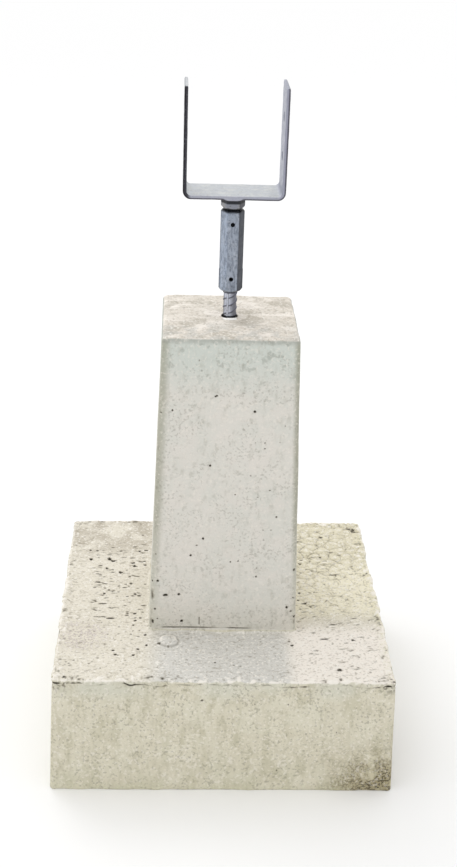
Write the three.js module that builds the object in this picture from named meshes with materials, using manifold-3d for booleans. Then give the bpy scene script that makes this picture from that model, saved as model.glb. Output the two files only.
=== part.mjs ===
// Column base block: a precast concrete footing with a height-adjustable post shoe of galvanised steel.
// Millimetres, +Z up, origin at the centre of the slab's underside. The photographed front faces -Y.

import * as THREE from "three";
import { mergeVertices } from "three/addons/utils/BufferGeometryUtils.js";
import Module from "manifold-3d";

const wasm = await Module();
wasm.setup();

// Driving sizes of the concrete casting
const SLAB_FOOT_WIDTH = 400;
const SLAB_RIM_WIDTH = 391.5; // the sides lean in, so that the casting leaves its mould
const SLAB_HEIGHT = 147;
const SLAB_CORNER_RADIUS = 5;
const SLAB_RIM_RADIUS = 3;
const SLAB_TOP_WAVE = 1.1; // how far the trowelled top wanders up and down
const COLUMN_FOOT_WIDTH = 177;
const COLUMN_HEAD_WIDTH = 154;
const COLUMN_HEIGHT = 370;
const COLUMN_CORNER_RADIUS = 6;
const COLUMN_HEAD_RADIUS = 5;
const FOOT_FILLET = 4; // soft paste where the column stands on the slab

// Driving sizes of the ribbed anchor bar
const BAR_CORE_DIAMETER = 14.8;
const BAR_RIB_HEIGHT = 0.8;
const BAR_RIB_WIDTH = 2.2;
const BAR_RIB_SPACING = 9;
const BAR_RIB_LEAD = 10; // how far a cross rib climbs in half a turn
const BAR_SEAM_WIDTH = 2.6; // the two ribs that run along the bar
const BAR_SHOWING = 32;
const BAR_EMBEDMENT = 300;

// Driving sizes of the thread, the long sleeve nut and the lock nut
const THREAD_DIAMETER = 16;
const SLEEVE_ACROSS_FLATS = 24;
const SLEEVE_LENGTH = 94.3;
const SLEEVE_CHAMFER = 0.8;
const INSPECTION_HOLE_DIAMETER = 5;
const INSPECTION_HOLE_INSET = 15.5;
const ADJUSTMENT_TRAVEL = 30;
const BAR_TO_STUD_SPACE = 6;
const NUT_ACROSS_FLATS = 24;
const NUT_HEIGHT = 14.8;
const NUT_CHAMFER = 0.9;
const NUT_STANDOFF = 1.7; // open thread between the lock nut and the sleeve

// Driving sizes of the post bracket, one strip bent to a U
const BRACKET_WIDTH = 113;
const BRACKET_HEIGHT = 122;
const STRIP_WIDTH = 57;
const STRIP_THICKNESS = 4;
const BRACKET_BEND_RADIUS = 9;
const SCREW_HOLE_DIAMETER = 11;
const SCREW_HOLE_LOW = 40; // heights over the inside of the base
const SCREW_HOLE_HIGH = 83;

const FIT_GAP = 0.3; // left between pieces that touch

// Levels that follow from the sizes
const COLUMN_TOP = SLAB_HEIGHT + COLUMN_HEIGHT;
const SLEEVE_BOTTOM = COLUMN_TOP + BAR_SHOWING;
const SLEEVE_TOP = SLEEVE_BOTTOM + SLEEVE_LENGTH;
const NUT_BOTTOM = SLEEVE_TOP + NUT_STANDOFF;
const BRACKET_BOTTOM = NUT_BOTTOM + NUT_HEIGHT + FIT_GAP;
// Raised to its highest, the stud still reaches past the upper inspection hole.
const STUD_LEAST_GRIP = INSPECTION_HOLE_INSET + INSPECTION_HOLE_DIAMETER / 2;
const STUD_BOTTOM = SLEEVE_TOP - STUD_LEAST_GRIP - ADJUSTMENT_TRAVEL;
const BAR_TOP = STUD_BOTTOM - BAR_TO_STUD_SPACE;

// How finely round shapes are divided
const ROUND_SEGMENTS = 32;
const CORNER_SEGMENTS = 4;
const EDGE_SEGMENTS = 4;
const SIDE_SEGMENTS = 12;
const BAR_SEGMENTS = 40;
const BAR_RING_STEP = 0.8;

const concreteFinish = new THREE.MeshStandardMaterial({
  color: 0xcfcaba,
  roughness: 0.92,
  metalness: 0,
});
const zincFinish = new THREE.MeshStandardMaterial({
  color: 0x8d93a0,
  roughness: 0.48,
  metalness: 0.85,
});
const barFinish = new THREE.MeshStandardMaterial({
  color: 0x84878f,
  roughness: 0.55,
  metalness: 0.8,
});

// A closed geometry as a solid that can be joined and cut
function toSolid(geometry) {
  const bare = new THREE.BufferGeometry();
  bare.setAttribute("position", geometry.getAttribute("position").clone());
  if (geometry.index) bare.setIndex(geometry.index.clone());
  const merged = mergeVertices(bare, 1e-4);
  return new wasm.Manifold(
    new wasm.Mesh({
      numProp: 3,
      vertProperties: new Float32Array(merged.attributes.position.array),
      triVerts: new Uint32Array(merged.index.array),
    }),
  );
}

function toGeometry(solid) {
  const mesh = solid.getMesh();
  const geometry = new THREE.BufferGeometry();
  geometry.setAttribute(
    "position",
    new THREE.BufferAttribute(mesh.vertProperties, 3),
  );
  geometry.setIndex(new THREE.BufferAttribute(mesh.triVerts, 1));
  geometry.computeVertexNormals();
  return geometry;
}

function namedMesh(name, geometry, material) {
  const mesh = new THREE.Mesh(geometry, material);
  mesh.name = name;
  return mesh;
}

// Closed skin through rings of equally many points, lowest ring first, each counter-clockwise seen from above
function skinThroughRings(rings) {
  const count = rings[0].length;
  const points = rings.flat();
  const triangles = [];
  for (let r = 0; r + 1 < rings.length; r++)
    for (let i = 0; i < count; i++) {
      const next = (i + 1) % count;
      const a = r * count + i;
      const b = r * count + next;
      const c = a + count;
      const d = b + count;
      triangles.push(a, b, d, a, d, c);
    }
  const last = (rings.length - 1) * count;
  const bottomCentre = points.push(centreOf(rings[0])) - 1;
  const topCentre = points.push(centreOf(rings.at(-1))) - 1;
  for (let i = 0; i < count; i++) {
    const next = (i + 1) % count;
    triangles.push(bottomCentre, next, i);
    triangles.push(topCentre, last + i, last + next);
  }
  const geometry = new THREE.BufferGeometry().setFromPoints(points);
  geometry.setIndex(triangles);
  geometry.computeVertexNormals();
  return geometry;
}

function centreOf(ring) {
  const sum = ring.reduce((total, p) => total.add(p), new THREE.Vector3());
  return sum.divideScalar(ring.length);
}

// A vertical cylinder between two levels
function roundBar(diameter, bottom, top) {
  const shape = new THREE.CylinderGeometry(
    diameter / 2,
    diameter / 2,
    top - bottom,
    ROUND_SEGMENTS,
  );
  shape.rotateX(Math.PI / 2);
  shape.translate(0, 0, (bottom + top) / 2);
  return shape;
}

// A level square with rounded corners; heightAt lifts each point
function roundedSquare(width, radius, level, heightAt = () => 0) {
  const ring = [];
  const inset = width / 2 - radius;
  for (let side = 0; side < 4; side++) {
    const turn = (side * Math.PI) / 2 - Math.PI / 2;
    const corner = new THREE.Vector2(inset, inset).rotateAround(
      new THREE.Vector2(),
      turn,
    );
    const arc = [];
    for (let k = 0; k <= CORNER_SEGMENTS; k++) {
      const angle = turn + (k / CORNER_SEGMENTS) * (Math.PI / 2);
      arc.push(
        new THREE.Vector2(
          corner.x + radius * Math.cos(angle),
          corner.y + radius * Math.sin(angle),
        ),
      );
    }
    ring.push(...arc);
    // the straight side that leads to the next corner
    const start = arc.at(-1);
    const along = new THREE.Vector2(Math.cos(turn + Math.PI), Math.sin(turn + Math.PI));
    for (let k = 1; k < SIDE_SEGMENTS; k++)
      ring.push(
        start.clone().addScaledVector(along, (2 * inset * k) / SIDE_SEGMENTS),
      );
  }
  return ring.map((p) => new THREE.Vector3(p.x, p.y, level + heightAt(p)));
}

// The unevenness that a hand trowel leaves in wet concrete
function trowelWave(point) {
  const broad = Math.sin(point.x / 31 + 0.6) * Math.cos(point.y / 43);
  const short = Math.sin(point.x / 17 + point.y / 23 + 1.9);
  return SLAB_TOP_WAVE * (0.6 * broad + 0.4 * short);
}

// Slab and tapered column, cast in one piece, with a bore that the bar stands in
function concreteBlock() {
  const rings = [];
  const slabWidthAt = (z) =>
    THREE.MathUtils.lerp(SLAB_FOOT_WIDTH, SLAB_RIM_WIDTH, z / SLAB_HEIGHT);
  const columnWidthAt = (z) =>
    THREE.MathUtils.lerp(
      COLUMN_FOOT_WIDTH,
      COLUMN_HEAD_WIDTH,
      (z - SLAB_HEIGHT) / COLUMN_HEIGHT,
    );

  rings.push(roundedSquare(SLAB_FOOT_WIDTH, SLAB_CORNER_RADIUS, 0));
  // rounded edges: the side turns over a quarter circle into the top
  for (let k = 0; k <= EDGE_SEGMENTS; k++) {
    const angle = (k / EDGE_SEGMENTS) * (Math.PI / 2);
    const drop = SLAB_RIM_RADIUS * (1 - Math.sin(angle));
    const pull = SLAB_RIM_RADIUS * (1 - Math.cos(angle));
    const z = SLAB_HEIGHT - drop;
    rings.push(
      roundedSquare(slabWidthAt(z) - 2 * pull, SLAB_CORNER_RADIUS, z, trowelWave),
    );
  }
  const rimInside = slabWidthAt(SLAB_HEIGHT) - 2 * SLAB_RIM_RADIUS;
  const filletOutside = COLUMN_FOOT_WIDTH + 2 * FOOT_FILLET;
  for (const share of [1 / 3, 2 / 3])
    rings.push(
      roundedSquare(
        THREE.MathUtils.lerp(rimInside, filletOutside, share),
        COLUMN_CORNER_RADIUS,
        SLAB_HEIGHT,
        trowelWave,
      ),
    );
  for (let k = 0; k <= EDGE_SEGMENTS; k++) {
    const angle = (k / EDGE_SEGMENTS) * (Math.PI / 2);
    const rise = FOOT_FILLET * (1 - Math.cos(angle));
    const reach = FOOT_FILLET * (1 - Math.sin(angle));
    const fade = 1 - k / EDGE_SEGMENTS;
    rings.push(
      roundedSquare(
        columnWidthAt(SLAB_HEIGHT + rise) + 2 * reach,
        COLUMN_CORNER_RADIUS + reach,
        SLAB_HEIGHT + rise,
        (p) => fade * trowelWave(p),
      ),
    );
  }
  for (let k = 0; k <= EDGE_SEGMENTS; k++) {
    const angle = (k / EDGE_SEGMENTS) * (Math.PI / 2);
    const drop = COLUMN_HEAD_RADIUS * (1 - Math.sin(angle));
    const pull = COLUMN_HEAD_RADIUS * (1 - Math.cos(angle));
    const z = COLUMN_TOP - drop;
    rings.push(roundedSquare(columnWidthAt(z) - 2 * pull, COLUMN_CORNER_RADIUS, z));
  }
  const boreDiameter = BAR_CORE_DIAMETER + 2 * (BAR_RIB_HEIGHT + FIT_GAP);
  const bore = roundBar(
    boreDiameter,
    COLUMN_TOP - BAR_EMBEDMENT - FIT_GAP,
    COLUMN_TOP + BAR_SHOWING,
  );
  const solid = toSolid(skinThroughRings(rings)).subtract(toSolid(bore));
  return namedMesh("concrete_block", toGeometry(solid), concreteFinish);
}

// How far the ribbed bar's surface stands over its core, at an angle round the bar and a height up it
function ribHeight(angle, z) {
  const half = THREE.MathUtils.euclideanModulo(angle, Math.PI) / Math.PI;
  const toSeam = Math.min(half, 1 - half) * Math.PI * (BAR_CORE_DIAMETER / 2);
  const seam = Math.max(0, 1 - toSeam / (BAR_SEAM_WIDTH / 2));
  const alongPitch = THREE.MathUtils.euclideanModulo(
    z - half * BAR_RIB_LEAD,
    BAR_RIB_SPACING,
  );
  const toCrest = Math.min(alongPitch, BAR_RIB_SPACING - alongPitch);
  const crest = Math.max(0, 1 - toCrest / (BAR_RIB_WIDTH / 2));
  const crescent = Math.sin(Math.PI * half);
  return BAR_RIB_HEIGHT * Math.max(seam, crest * crescent);
}

// Reinforcing bar cast into the column: plain where the concrete hides it, ribbed where it shows, threaded above
function anchorBar() {
  const ringAt = (z, radiusAt) =>
    Array.from({ length: BAR_SEGMENTS }, (_, i) => {
      const angle = (i / BAR_SEGMENTS) * 2 * Math.PI;
      const radius = radiusAt(angle);
      return new THREE.Vector3(
        radius * Math.cos(angle),
        radius * Math.sin(angle),
        z,
      );
    });
  const overRibs = BAR_CORE_DIAMETER / 2 + BAR_RIB_HEIGHT;
  const shownFrom = COLUMN_TOP + FIT_GAP;
  const shownTo = SLEEVE_BOTTOM - FIT_GAP;
  const rings = [
    ringAt(COLUMN_TOP - BAR_EMBEDMENT, () => overRibs),
    ringAt(COLUMN_TOP, () => overRibs),
  ];
  const steps = Math.round((shownTo - shownFrom) / BAR_RING_STEP);
  for (let k = 0; k <= steps; k++) {
    const z = THREE.MathUtils.lerp(shownFrom, shownTo, k / steps);
    rings.push(
      ringAt(z, (angle) => BAR_CORE_DIAMETER / 2 + ribHeight(angle, z)),
    );
  }
  rings.push(ringAt(SLEEVE_BOTTOM, () => THREAD_DIAMETER / 2));
  rings.push(ringAt(BAR_TOP, () => THREAD_DIAMETER / 2));
  return namedMesh("anchor_bar", skinThroughRings(rings), barFinish);
}

// A hexagonal prism with a flat to the front, its corners turned off at both ends, and a bore up its middle
function hexagonNut(acrossFlats, bottom, top, chamfer) {
  const acrossCorners = acrossFlats / Math.cos(Math.PI / 6);
  const prism = new THREE.CylinderGeometry(
    acrossCorners / 2,
    acrossCorners / 2,
    top - bottom,
    6,
  );
  prism.rotateX(Math.PI / 2);
  prism.rotateZ(Math.PI / 6);
  prism.translate(0, 0, (bottom + top) / 2);
  const endRadius = acrossFlats / 2 - chamfer;
  const slope = acrossCorners / 2 + chamfer - endRadius;
  const turned = new THREE.LatheGeometry(
    [
      new THREE.Vector2(0, bottom),
      new THREE.Vector2(endRadius, bottom),
      new THREE.Vector2(endRadius + slope, bottom + slope),
      new THREE.Vector2(endRadius + slope, top - slope),
      new THREE.Vector2(endRadius, top),
      new THREE.Vector2(0, top),
    ],
    ROUND_SEGMENTS,
  );
  turned.rotateX(Math.PI / 2);
  const bore = roundBar(
    THREAD_DIAMETER + 2 * FIT_GAP,
    bottom - FIT_GAP,
    top + FIT_GAP,
  );
  return toSolid(prism).intersect(toSolid(turned)).subtract(toSolid(bore));
}

// Long hexagon nut that joins the bar to the stud, with a hole near each end to see how far the threads reach
function sleeveNut() {
  let solid = hexagonNut(
    SLEEVE_ACROSS_FLATS,
    SLEEVE_BOTTOM,
    SLEEVE_TOP,
    SLEEVE_CHAMFER,
  );
  const levels = [
    SLEEVE_BOTTOM + INSPECTION_HOLE_INSET,
    SLEEVE_TOP - INSPECTION_HOLE_INSET,
  ];
  for (const z of levels) {
    const drill = new THREE.CylinderGeometry(
      INSPECTION_HOLE_DIAMETER / 2,
      INSPECTION_HOLE_DIAMETER / 2,
      SLEEVE_ACROSS_FLATS,
      ROUND_SEGMENTS / 2,
    );
    drill.translate(0, -SLEEVE_ACROSS_FLATS / 2, z);
    solid = solid.subtract(toSolid(drill));
  }
  return namedMesh("sleeve_nut", toGeometry(solid), zincFinish);
}

function lockNut() {
  const solid = hexagonNut(
    NUT_ACROSS_FLATS,
    NUT_BOTTOM,
    NUT_BOTTOM + NUT_HEIGHT,
    NUT_CHAMFER,
  );
  return namedMesh("lock_nut", toGeometry(solid), zincFinish);
}

// Threaded stud under the bracket, drawn at the size over its thread
function threadedStud() {
  const top = BRACKET_BOTTOM - FIT_GAP;
  return namedMesh(
    "threaded_stud",
    roundBar(THREAD_DIAMETER, STUD_BOTTOM, top),
    zincFinish,
  );
}

// U of flat strip that the post stands in, with two screw holes through each cheek
function postBracket() {
  const half = BRACKET_WIDTH / 2;
  const bendInside = BRACKET_BEND_RADIUS - STRIP_THICKNESS;
  const bendX = half - BRACKET_BEND_RADIUS;
  const outline = new THREE.Shape();
  outline.moveTo(-half, BRACKET_HEIGHT);
  outline.lineTo(-half, BRACKET_BEND_RADIUS);
  outline.absarc(-bendX, BRACKET_BEND_RADIUS, BRACKET_BEND_RADIUS, Math.PI, 1.5 * Math.PI, false);
  outline.absarc(bendX, BRACKET_BEND_RADIUS, BRACKET_BEND_RADIUS, 1.5 * Math.PI, 2 * Math.PI, false);
  outline.lineTo(half, BRACKET_HEIGHT);
  outline.lineTo(half - STRIP_THICKNESS, BRACKET_HEIGHT);
  outline.absarc(bendX, BRACKET_BEND_RADIUS, bendInside, 2 * Math.PI, 1.5 * Math.PI, true);
  outline.absarc(-bendX, BRACKET_BEND_RADIUS, bendInside, 1.5 * Math.PI, Math.PI, true);
  outline.lineTo(-half + STRIP_THICKNESS, BRACKET_HEIGHT);
  outline.closePath();
  const strip = new THREE.ExtrudeGeometry(outline, {
    depth: STRIP_WIDTH,
    bevelEnabled: false,
    curveSegments: 8,
  });
  strip.rotateX(Math.PI / 2);
  strip.translate(0, STRIP_WIDTH / 2, 0);
  let solid = toSolid(strip);
  for (const height of [SCREW_HOLE_LOW, SCREW_HOLE_HIGH]) {
    const drill = new THREE.CylinderGeometry(
      SCREW_HOLE_DIAMETER / 2,
      SCREW_HOLE_DIAMETER / 2,
      BRACKET_WIDTH + 2 * STRIP_THICKNESS,
      ROUND_SEGMENTS / 2,
    );
    drill.rotateZ(Math.PI / 2);
    drill.translate(0, 0, STRIP_THICKNESS + height);
    solid = solid.subtract(toSolid(drill));
  }
  const bracket = namedMesh("post_bracket", toGeometry(solid), zincFinish);
  bracket.position.z = BRACKET_BOTTOM;
  return bracket;
}

const footing = new THREE.Group();
footing.add(concreteBlock(), anchorBar(), sleeveNut());

const postShoe = new THREE.Group();
postShoe.add(lockNut(), threadedStud(), postBracket());

const columnBaseBlock = new THREE.Group();
columnBaseBlock.add(footing, postShoe);

export default columnBaseBlock;
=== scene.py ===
# %% [markdown]
# # A concrete column base with an adjustable post shoe
# The object is a footing that carries the foot of a timber post. A square slab and a tapered column are
# cast in one piece. A ribbed bar stands in the column's head, and a long sleeve nut, a lock nut and a U of
# flat strip sit on it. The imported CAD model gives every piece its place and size. This lesson gives them
# their surfaces.

# %% Load the frame
import math

import bmesh
import bpy
import numpy as np
from mathutils import Matrix, Vector


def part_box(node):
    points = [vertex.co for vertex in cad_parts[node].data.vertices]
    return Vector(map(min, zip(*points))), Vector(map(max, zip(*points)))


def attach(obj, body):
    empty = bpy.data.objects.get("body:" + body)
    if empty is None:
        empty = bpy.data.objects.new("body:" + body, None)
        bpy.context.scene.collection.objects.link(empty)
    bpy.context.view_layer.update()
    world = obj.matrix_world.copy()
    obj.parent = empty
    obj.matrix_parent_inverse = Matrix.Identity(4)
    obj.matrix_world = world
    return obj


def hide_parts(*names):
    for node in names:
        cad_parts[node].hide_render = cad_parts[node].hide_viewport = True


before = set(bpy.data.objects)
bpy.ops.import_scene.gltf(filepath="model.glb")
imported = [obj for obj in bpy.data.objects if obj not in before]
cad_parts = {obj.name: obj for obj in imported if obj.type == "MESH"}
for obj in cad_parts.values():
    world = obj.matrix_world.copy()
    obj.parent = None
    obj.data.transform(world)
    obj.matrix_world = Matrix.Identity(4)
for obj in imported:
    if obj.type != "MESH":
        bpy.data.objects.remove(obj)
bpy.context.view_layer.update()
MM = 0.001  # the scene is in metres, and sizes below are written in millimetres


def node_box_mm(node):
    """The lowest and highest corner of a CAD node, in millimetres."""
    low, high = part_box(node)
    return np.array(low) / MM, np.array(high) / MM


def node_radius_mm(node):
    low, high = node_box_mm(node)
    return (high[0] - low[0]) / 2


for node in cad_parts:
    low, high = node_box_mm(node)
    print(f"{node}: {np.round(high - low, 1)} mm, from {low[2]:.1f} mm up")

# %% [markdown]
# ## The camera
# A photograph can be matched by eye, by nudging the camera until the edges agree, or by working the camera
# out from points whose real places are known. Here 28 corners of the block and the bracket were measured,
# and the camera that brings them all to within two pixels was solved for. It looks down 24 degrees and
# leans a little.

# %% Camera
FRAME_HEIGHT_PX = 867
FOCAL_LENGTH_PX = 1429.6
SENSOR_MM = 36.0  # Blender lays the sensor width along the frame's longer side
CAMERA_MM = Vector((-65.5, -1560.3, 1060.8))
CAMERA_YAW, CAMERA_PITCH, CAMERA_ROLL = (math.radians(a) for a in (2.532, 23.907, 1.921))

forward = Vector((
    math.sin(CAMERA_YAW) * math.cos(CAMERA_PITCH),
    math.cos(CAMERA_YAW) * math.cos(CAMERA_PITCH),
    -math.sin(CAMERA_PITCH),
))
level_right = Vector((math.cos(CAMERA_YAW), -math.sin(CAMERA_YAW), 0))
level_up = level_right.cross(forward)
right = math.cos(CAMERA_ROLL) * level_right + math.sin(CAMERA_ROLL) * level_up
up = math.cos(CAMERA_ROLL) * level_up - math.sin(CAMERA_ROLL) * level_right

camera_data = bpy.data.cameras.new("camera")
camera_data.sensor_width = SENSOR_MM
camera_data.lens = FOCAL_LENGTH_PX / FRAME_HEIGHT_PX * SENSOR_MM
camera = bpy.data.objects.new("camera", camera_data)
camera.matrix_world = Matrix.Translation(CAMERA_MM * MM) @ Matrix((right, up, -forward)).transposed().to_4x4()
bpy.context.collection.objects.link(camera)
bpy.context.scene.camera = camera
bpy.context.scene.view_settings.view_transform = "Standard"
print(f"lens {camera_data.lens:.1f} mm")

# %% [markdown]
# ## Chance that repeats
# Concrete is a record of small accidents, so most of its relief comes from noise. Blender's own textures
# could push a mesh about with a modifier, but the numbers stay hidden there. A few lines of array code give
# the same noise, and each surface can then mix it as it likes. Every pattern has a seed, so each run gives
# the same block.

# %% Noise
def cell_chance(cells, seed):
    """One repeatable number from 0 to 1 for each whole-numbered cell."""
    mixed = np.full(cells.shape[:-1], seed * 97_531, dtype=np.int64)
    for axis, prime in enumerate((73_856_093, 19_349_663, 83_492_791)[: cells.shape[-1]]):
        mixed = mixed ^ (cells[..., axis] * prime)
    mixed = (mixed ^ (mixed >> 13)) * 1_274_126_177
    mixed = (mixed ^ (mixed >> 16)) * 668_265_263
    return ((mixed ^ (mixed >> 15)) & 0xFFFFFF) / 0xFFFFFF


def smooth_noise(points, seed):
    """Smooth noise from -1 to 1 with features about one unit across."""
    cells = np.floor(points).astype(np.int64)
    share = points - cells
    share = share * share * (3 - 2 * share)
    total = np.zeros(len(points))
    for corner in np.ndindex(*(2,) * points.shape[1]):
        weight = np.prod(np.where(corner, share, 1 - share), axis=1)
        total += weight * cell_chance(cells + np.array(corner), seed)
    return 2 * total - 1


def layered_noise(points, size, layers, seed):
    """Noise with features about size across, and layers of finer and weaker ones."""
    total, strength, scale = np.zeros(len(points)), 1.0, 1.0
    for layer in range(layers):
        total += strength * smooth_noise(points / size * scale, seed + layer)
        strength, scale = strength * 0.5, scale * 2.1
    return total


def rise(values, low, high):
    """0 below low, 1 above high, and a smooth step between them."""
    share = np.clip((values - low) / (high - low), 0, 1)
    return share * share * (3 - 2 * share)


def bell(values, middle, width):
    """1 at the middle, falling away smoothly to either side."""
    return np.exp(-(((values - middle) / width) ** 2))


# %% [markdown]
# ## Meshes from rings
# Nearly every piece here is a skin through a pile of rings: the casting, the bar, the threads and the nuts.
# One helper turns a stack of rings into a mesh. Faces join each ring to the next, and a fan closes each
# end.

# %% Mesh helpers
def ring_mesh(name, rings, closed=False):
    """A mesh through rings of points in millimetres, with fans at its ends, or closed from last to first."""
    rings = np.asarray(rings, float)
    rows, count, _ = rings.shape
    points = rings.reshape(-1, 3)
    row = np.arange(rows if closed else rows - 1)[:, None] * count
    here = np.arange(count)[None, :]
    ahead = (here + 1) % count
    above = (row + count) % (rows * count)
    quads = np.stack([row + here, row + ahead, above + ahead, above + here], axis=-1).reshape(-1, 4)
    corners, sizes = quads.ravel(), np.full(len(quads), 4)
    if not closed:
        points = np.vstack([points, rings[0].mean(axis=0), rings[-1].mean(axis=0)])
        here, ahead, last = here[0], ahead[0], (rows - 1) * count
        low_fan = np.column_stack([np.full(count, rows * count), ahead, here])
        high_fan = np.column_stack([np.full(count, rows * count + 1), last + here, last + ahead])
        corners = np.concatenate([corners, low_fan.ravel(), high_fan.ravel()])
        sizes = np.concatenate([sizes, np.full(2 * count, 3)])
    mesh = bpy.data.meshes.new(name)
    mesh.vertices.add(len(points))
    mesh.vertices.foreach_set("co", (points * MM).ravel())
    mesh.loops.add(len(corners))
    mesh.loops.foreach_set("vertex_index", corners)
    mesh.polygons.add(len(sizes))
    mesh.polygons.foreach_set("loop_start", np.cumsum(sizes) - sizes)
    mesh.update(calc_edges=True)
    return mesh


def place(mesh):
    """A new object in the scene for a mesh."""
    thing = bpy.data.objects.new(mesh.name, mesh)
    bpy.context.collection.objects.link(thing)
    return thing


def positions(mesh):
    """The mesh's points in millimetres."""
    flat = np.empty(len(mesh.vertices) * 3)
    mesh.vertices.foreach_get("co", flat)
    return flat.reshape(-1, 3) / MM


def move_points(mesh, points):
    mesh.vertices.foreach_set("co", (points * MM).ravel())
    mesh.update()


def point_normals(mesh):
    flat = np.empty(len(mesh.vertices) * 3)
    mesh.vertices.foreach_get("normal", flat)
    return flat.reshape(-1, 3)


def keep_on_points(mesh, name, values):
    """Stores one number on each point, for a material to read."""
    layer = mesh.attributes.new(name, "FLOAT", "POINT")
    layer.data.foreach_set("value", np.asarray(values, np.float32))


def apply_modifiers(thing):
    bpy.context.view_layer.objects.active = thing
    for modifier in list(thing.modifiers):
        bpy.ops.object.modifier_apply(modifier=modifier.name)


def soften(mesh, sharp_over_degrees=180):
    """Smooth shading, but for edges that turn by more than an angle."""
    mesh.shade_smooth()
    if sharp_over_degrees < 180:
        mesh.set_sharp_from_angle(angle=math.radians(sharp_over_degrees))


def level_ring(angles, radii, z):
    """A ring round the z axis, from its radius at each angle."""
    return np.column_stack([radii * np.cos(angles), radii * np.sin(angles), np.full(len(angles), z)])


def spaced(start, end, step):
    """Values from start to end about step apart, without the end itself."""
    return np.linspace(start, end, max(1, round(abs(end - start) / step)), endpoint=False)


# %% [markdown]
# ## The casting's plain form
# Slab and column were poured together into one mould, upright. The sides lean in a little so that the mould
# lifts off, the arrises are rounded, and a soft fillet of paste runs round the column's foot. The form
# could be a subdivided box, but rings give even rows of points, closer together where small relief has to
# go.

# %% Plain form of slab and column
SLAB_FOOT_WIDTH, SLAB_RIM_WIDTH, SLAB_HEIGHT = 400, 391.5, 147
SLAB_CORNER_RADIUS, SLAB_RIM_RADIUS = 5, 3
COLUMN_FOOT_WIDTH, COLUMN_HEAD_WIDTH = 177, 154
COLUMN_CORNER_RADIUS, COLUMN_HEAD_RADIUS, FOOT_FILLET = 6, 5, 4
COLUMN_TOP = node_box_mm("concrete_block")[1][2]
BAR_RADIUS = node_radius_mm("anchor_bar")
BAR_CLEARANCE = 0.3
BORE_RADIUS = BAR_RADIUS + BAR_CLEARANCE
BORE_MOUTH_RADIUS = BAR_RADIUS + 0.7
BORE_BOTTOM = node_box_mm("anchor_bar")[0][2] - BAR_CLEARANCE
TOP_WAVE = 1.1  # the height of the slab top's slow waves
NEAR_RIM = 16  # rings lie closer together this far down from the rim
NEAR_FOOT = 12  # and this far up from the fillet at the column's foot
CORNER_STEPS, RIM_STEPS, FOOT_STEPS, HEAD_STEPS = 10, 5, 5, 6
SIDE_STEPS = 250
POINT_SPACING = 1.0  # along the height of the column, and a guide for the rest


def square_ring(width, radius, height):
    """A level square with rounded corners, as points in order."""
    inset = width / 2 - radius
    quarter = []
    for angle in np.linspace(0, math.pi / 2, CORNER_STEPS + 1):
        quarter.append((inset + radius * math.cos(angle), inset + radius * math.sin(angle)))
    for share in np.linspace(0, 1, SIDE_STEPS + 1)[1:-1]:
        quarter.append((inset - 2 * inset * share, inset + radius))
    quarter = np.array(quarter)
    turns = [quarter]
    for _ in range(3):
        quarter = np.stack([-quarter[:, 1], quarter[:, 0]], axis=1)
        turns.append(quarter)
    flat = np.vstack(turns)
    return np.column_stack([flat, np.full(len(flat), height)])


def trowel_wave(points):
    """The same slow unevenness of the slab's top as the CAD solid has."""
    x, y = points[:, 0], points[:, 1]
    broad = np.sin(x / 31 + 0.6) * np.cos(y / 43)
    short = np.sin(x / 17 + y / 23 + 1.9)
    return TOP_WAVE * (0.6 * broad + 0.4 * short)


def slab_width(z):
    return SLAB_FOOT_WIDTH + (SLAB_RIM_WIDTH - SLAB_FOOT_WIDTH) * z / SLAB_HEIGHT


def column_width(z):
    share = (z - SLAB_HEIGHT) / (COLUMN_TOP - SLAB_HEIGHT)
    return COLUMN_FOOT_WIDTH + (COLUMN_HEAD_WIDTH - COLUMN_FOOT_WIDTH) * share


def rounded_edge(top, radius, width_at, corner_radius, steps):
    """Rings round an upper edge, from the side over to the top."""
    rings = []
    for angle in np.linspace(0, math.pi / 2, steps + 1):
        z = top - radius * (1 - math.sin(angle))
        rings.append(square_ring(width_at(z) - 2 * radius * (1 - math.cos(angle)), corner_radius, z))
    return rings


def slab_rings():
    rings = [square_ring(width, SLAB_CORNER_RADIUS, 0) for width in spaced(40, SLAB_FOOT_WIDTH - 3, 24)]
    rings.append(square_ring(SLAB_FOOT_WIDTH - 3, SLAB_CORNER_RADIUS, 0))
    rings.append(square_ring(SLAB_FOOT_WIDTH - 1, SLAB_CORNER_RADIUS, 0.4))
    near_rim = SLAB_HEIGHT - NEAR_RIM
    side = [*spaced(1.5, near_rim, 2.2 * POINT_SPACING)]
    side += [*spaced(near_rim, SLAB_HEIGHT - SLAB_RIM_RADIUS, 0.7 * POINT_SPACING)]
    rings += [square_ring(slab_width(z), SLAB_CORNER_RADIUS, z) for z in side]
    rings += rounded_edge(SLAB_HEIGHT, SLAB_RIM_RADIUS, slab_width, SLAB_CORNER_RADIUS, RIM_STEPS)
    inside = slab_width(SLAB_HEIGHT) - 2 * SLAB_RIM_RADIUS
    fillet_out = COLUMN_FOOT_WIDTH + 2 * FOOT_FILLET
    top = spaced(inside - 1, fillet_out, 2.5 * POINT_SPACING)
    rings += [square_ring(width, COLUMN_CORNER_RADIUS, SLAB_HEIGHT) for width in top]
    return rings


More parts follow.
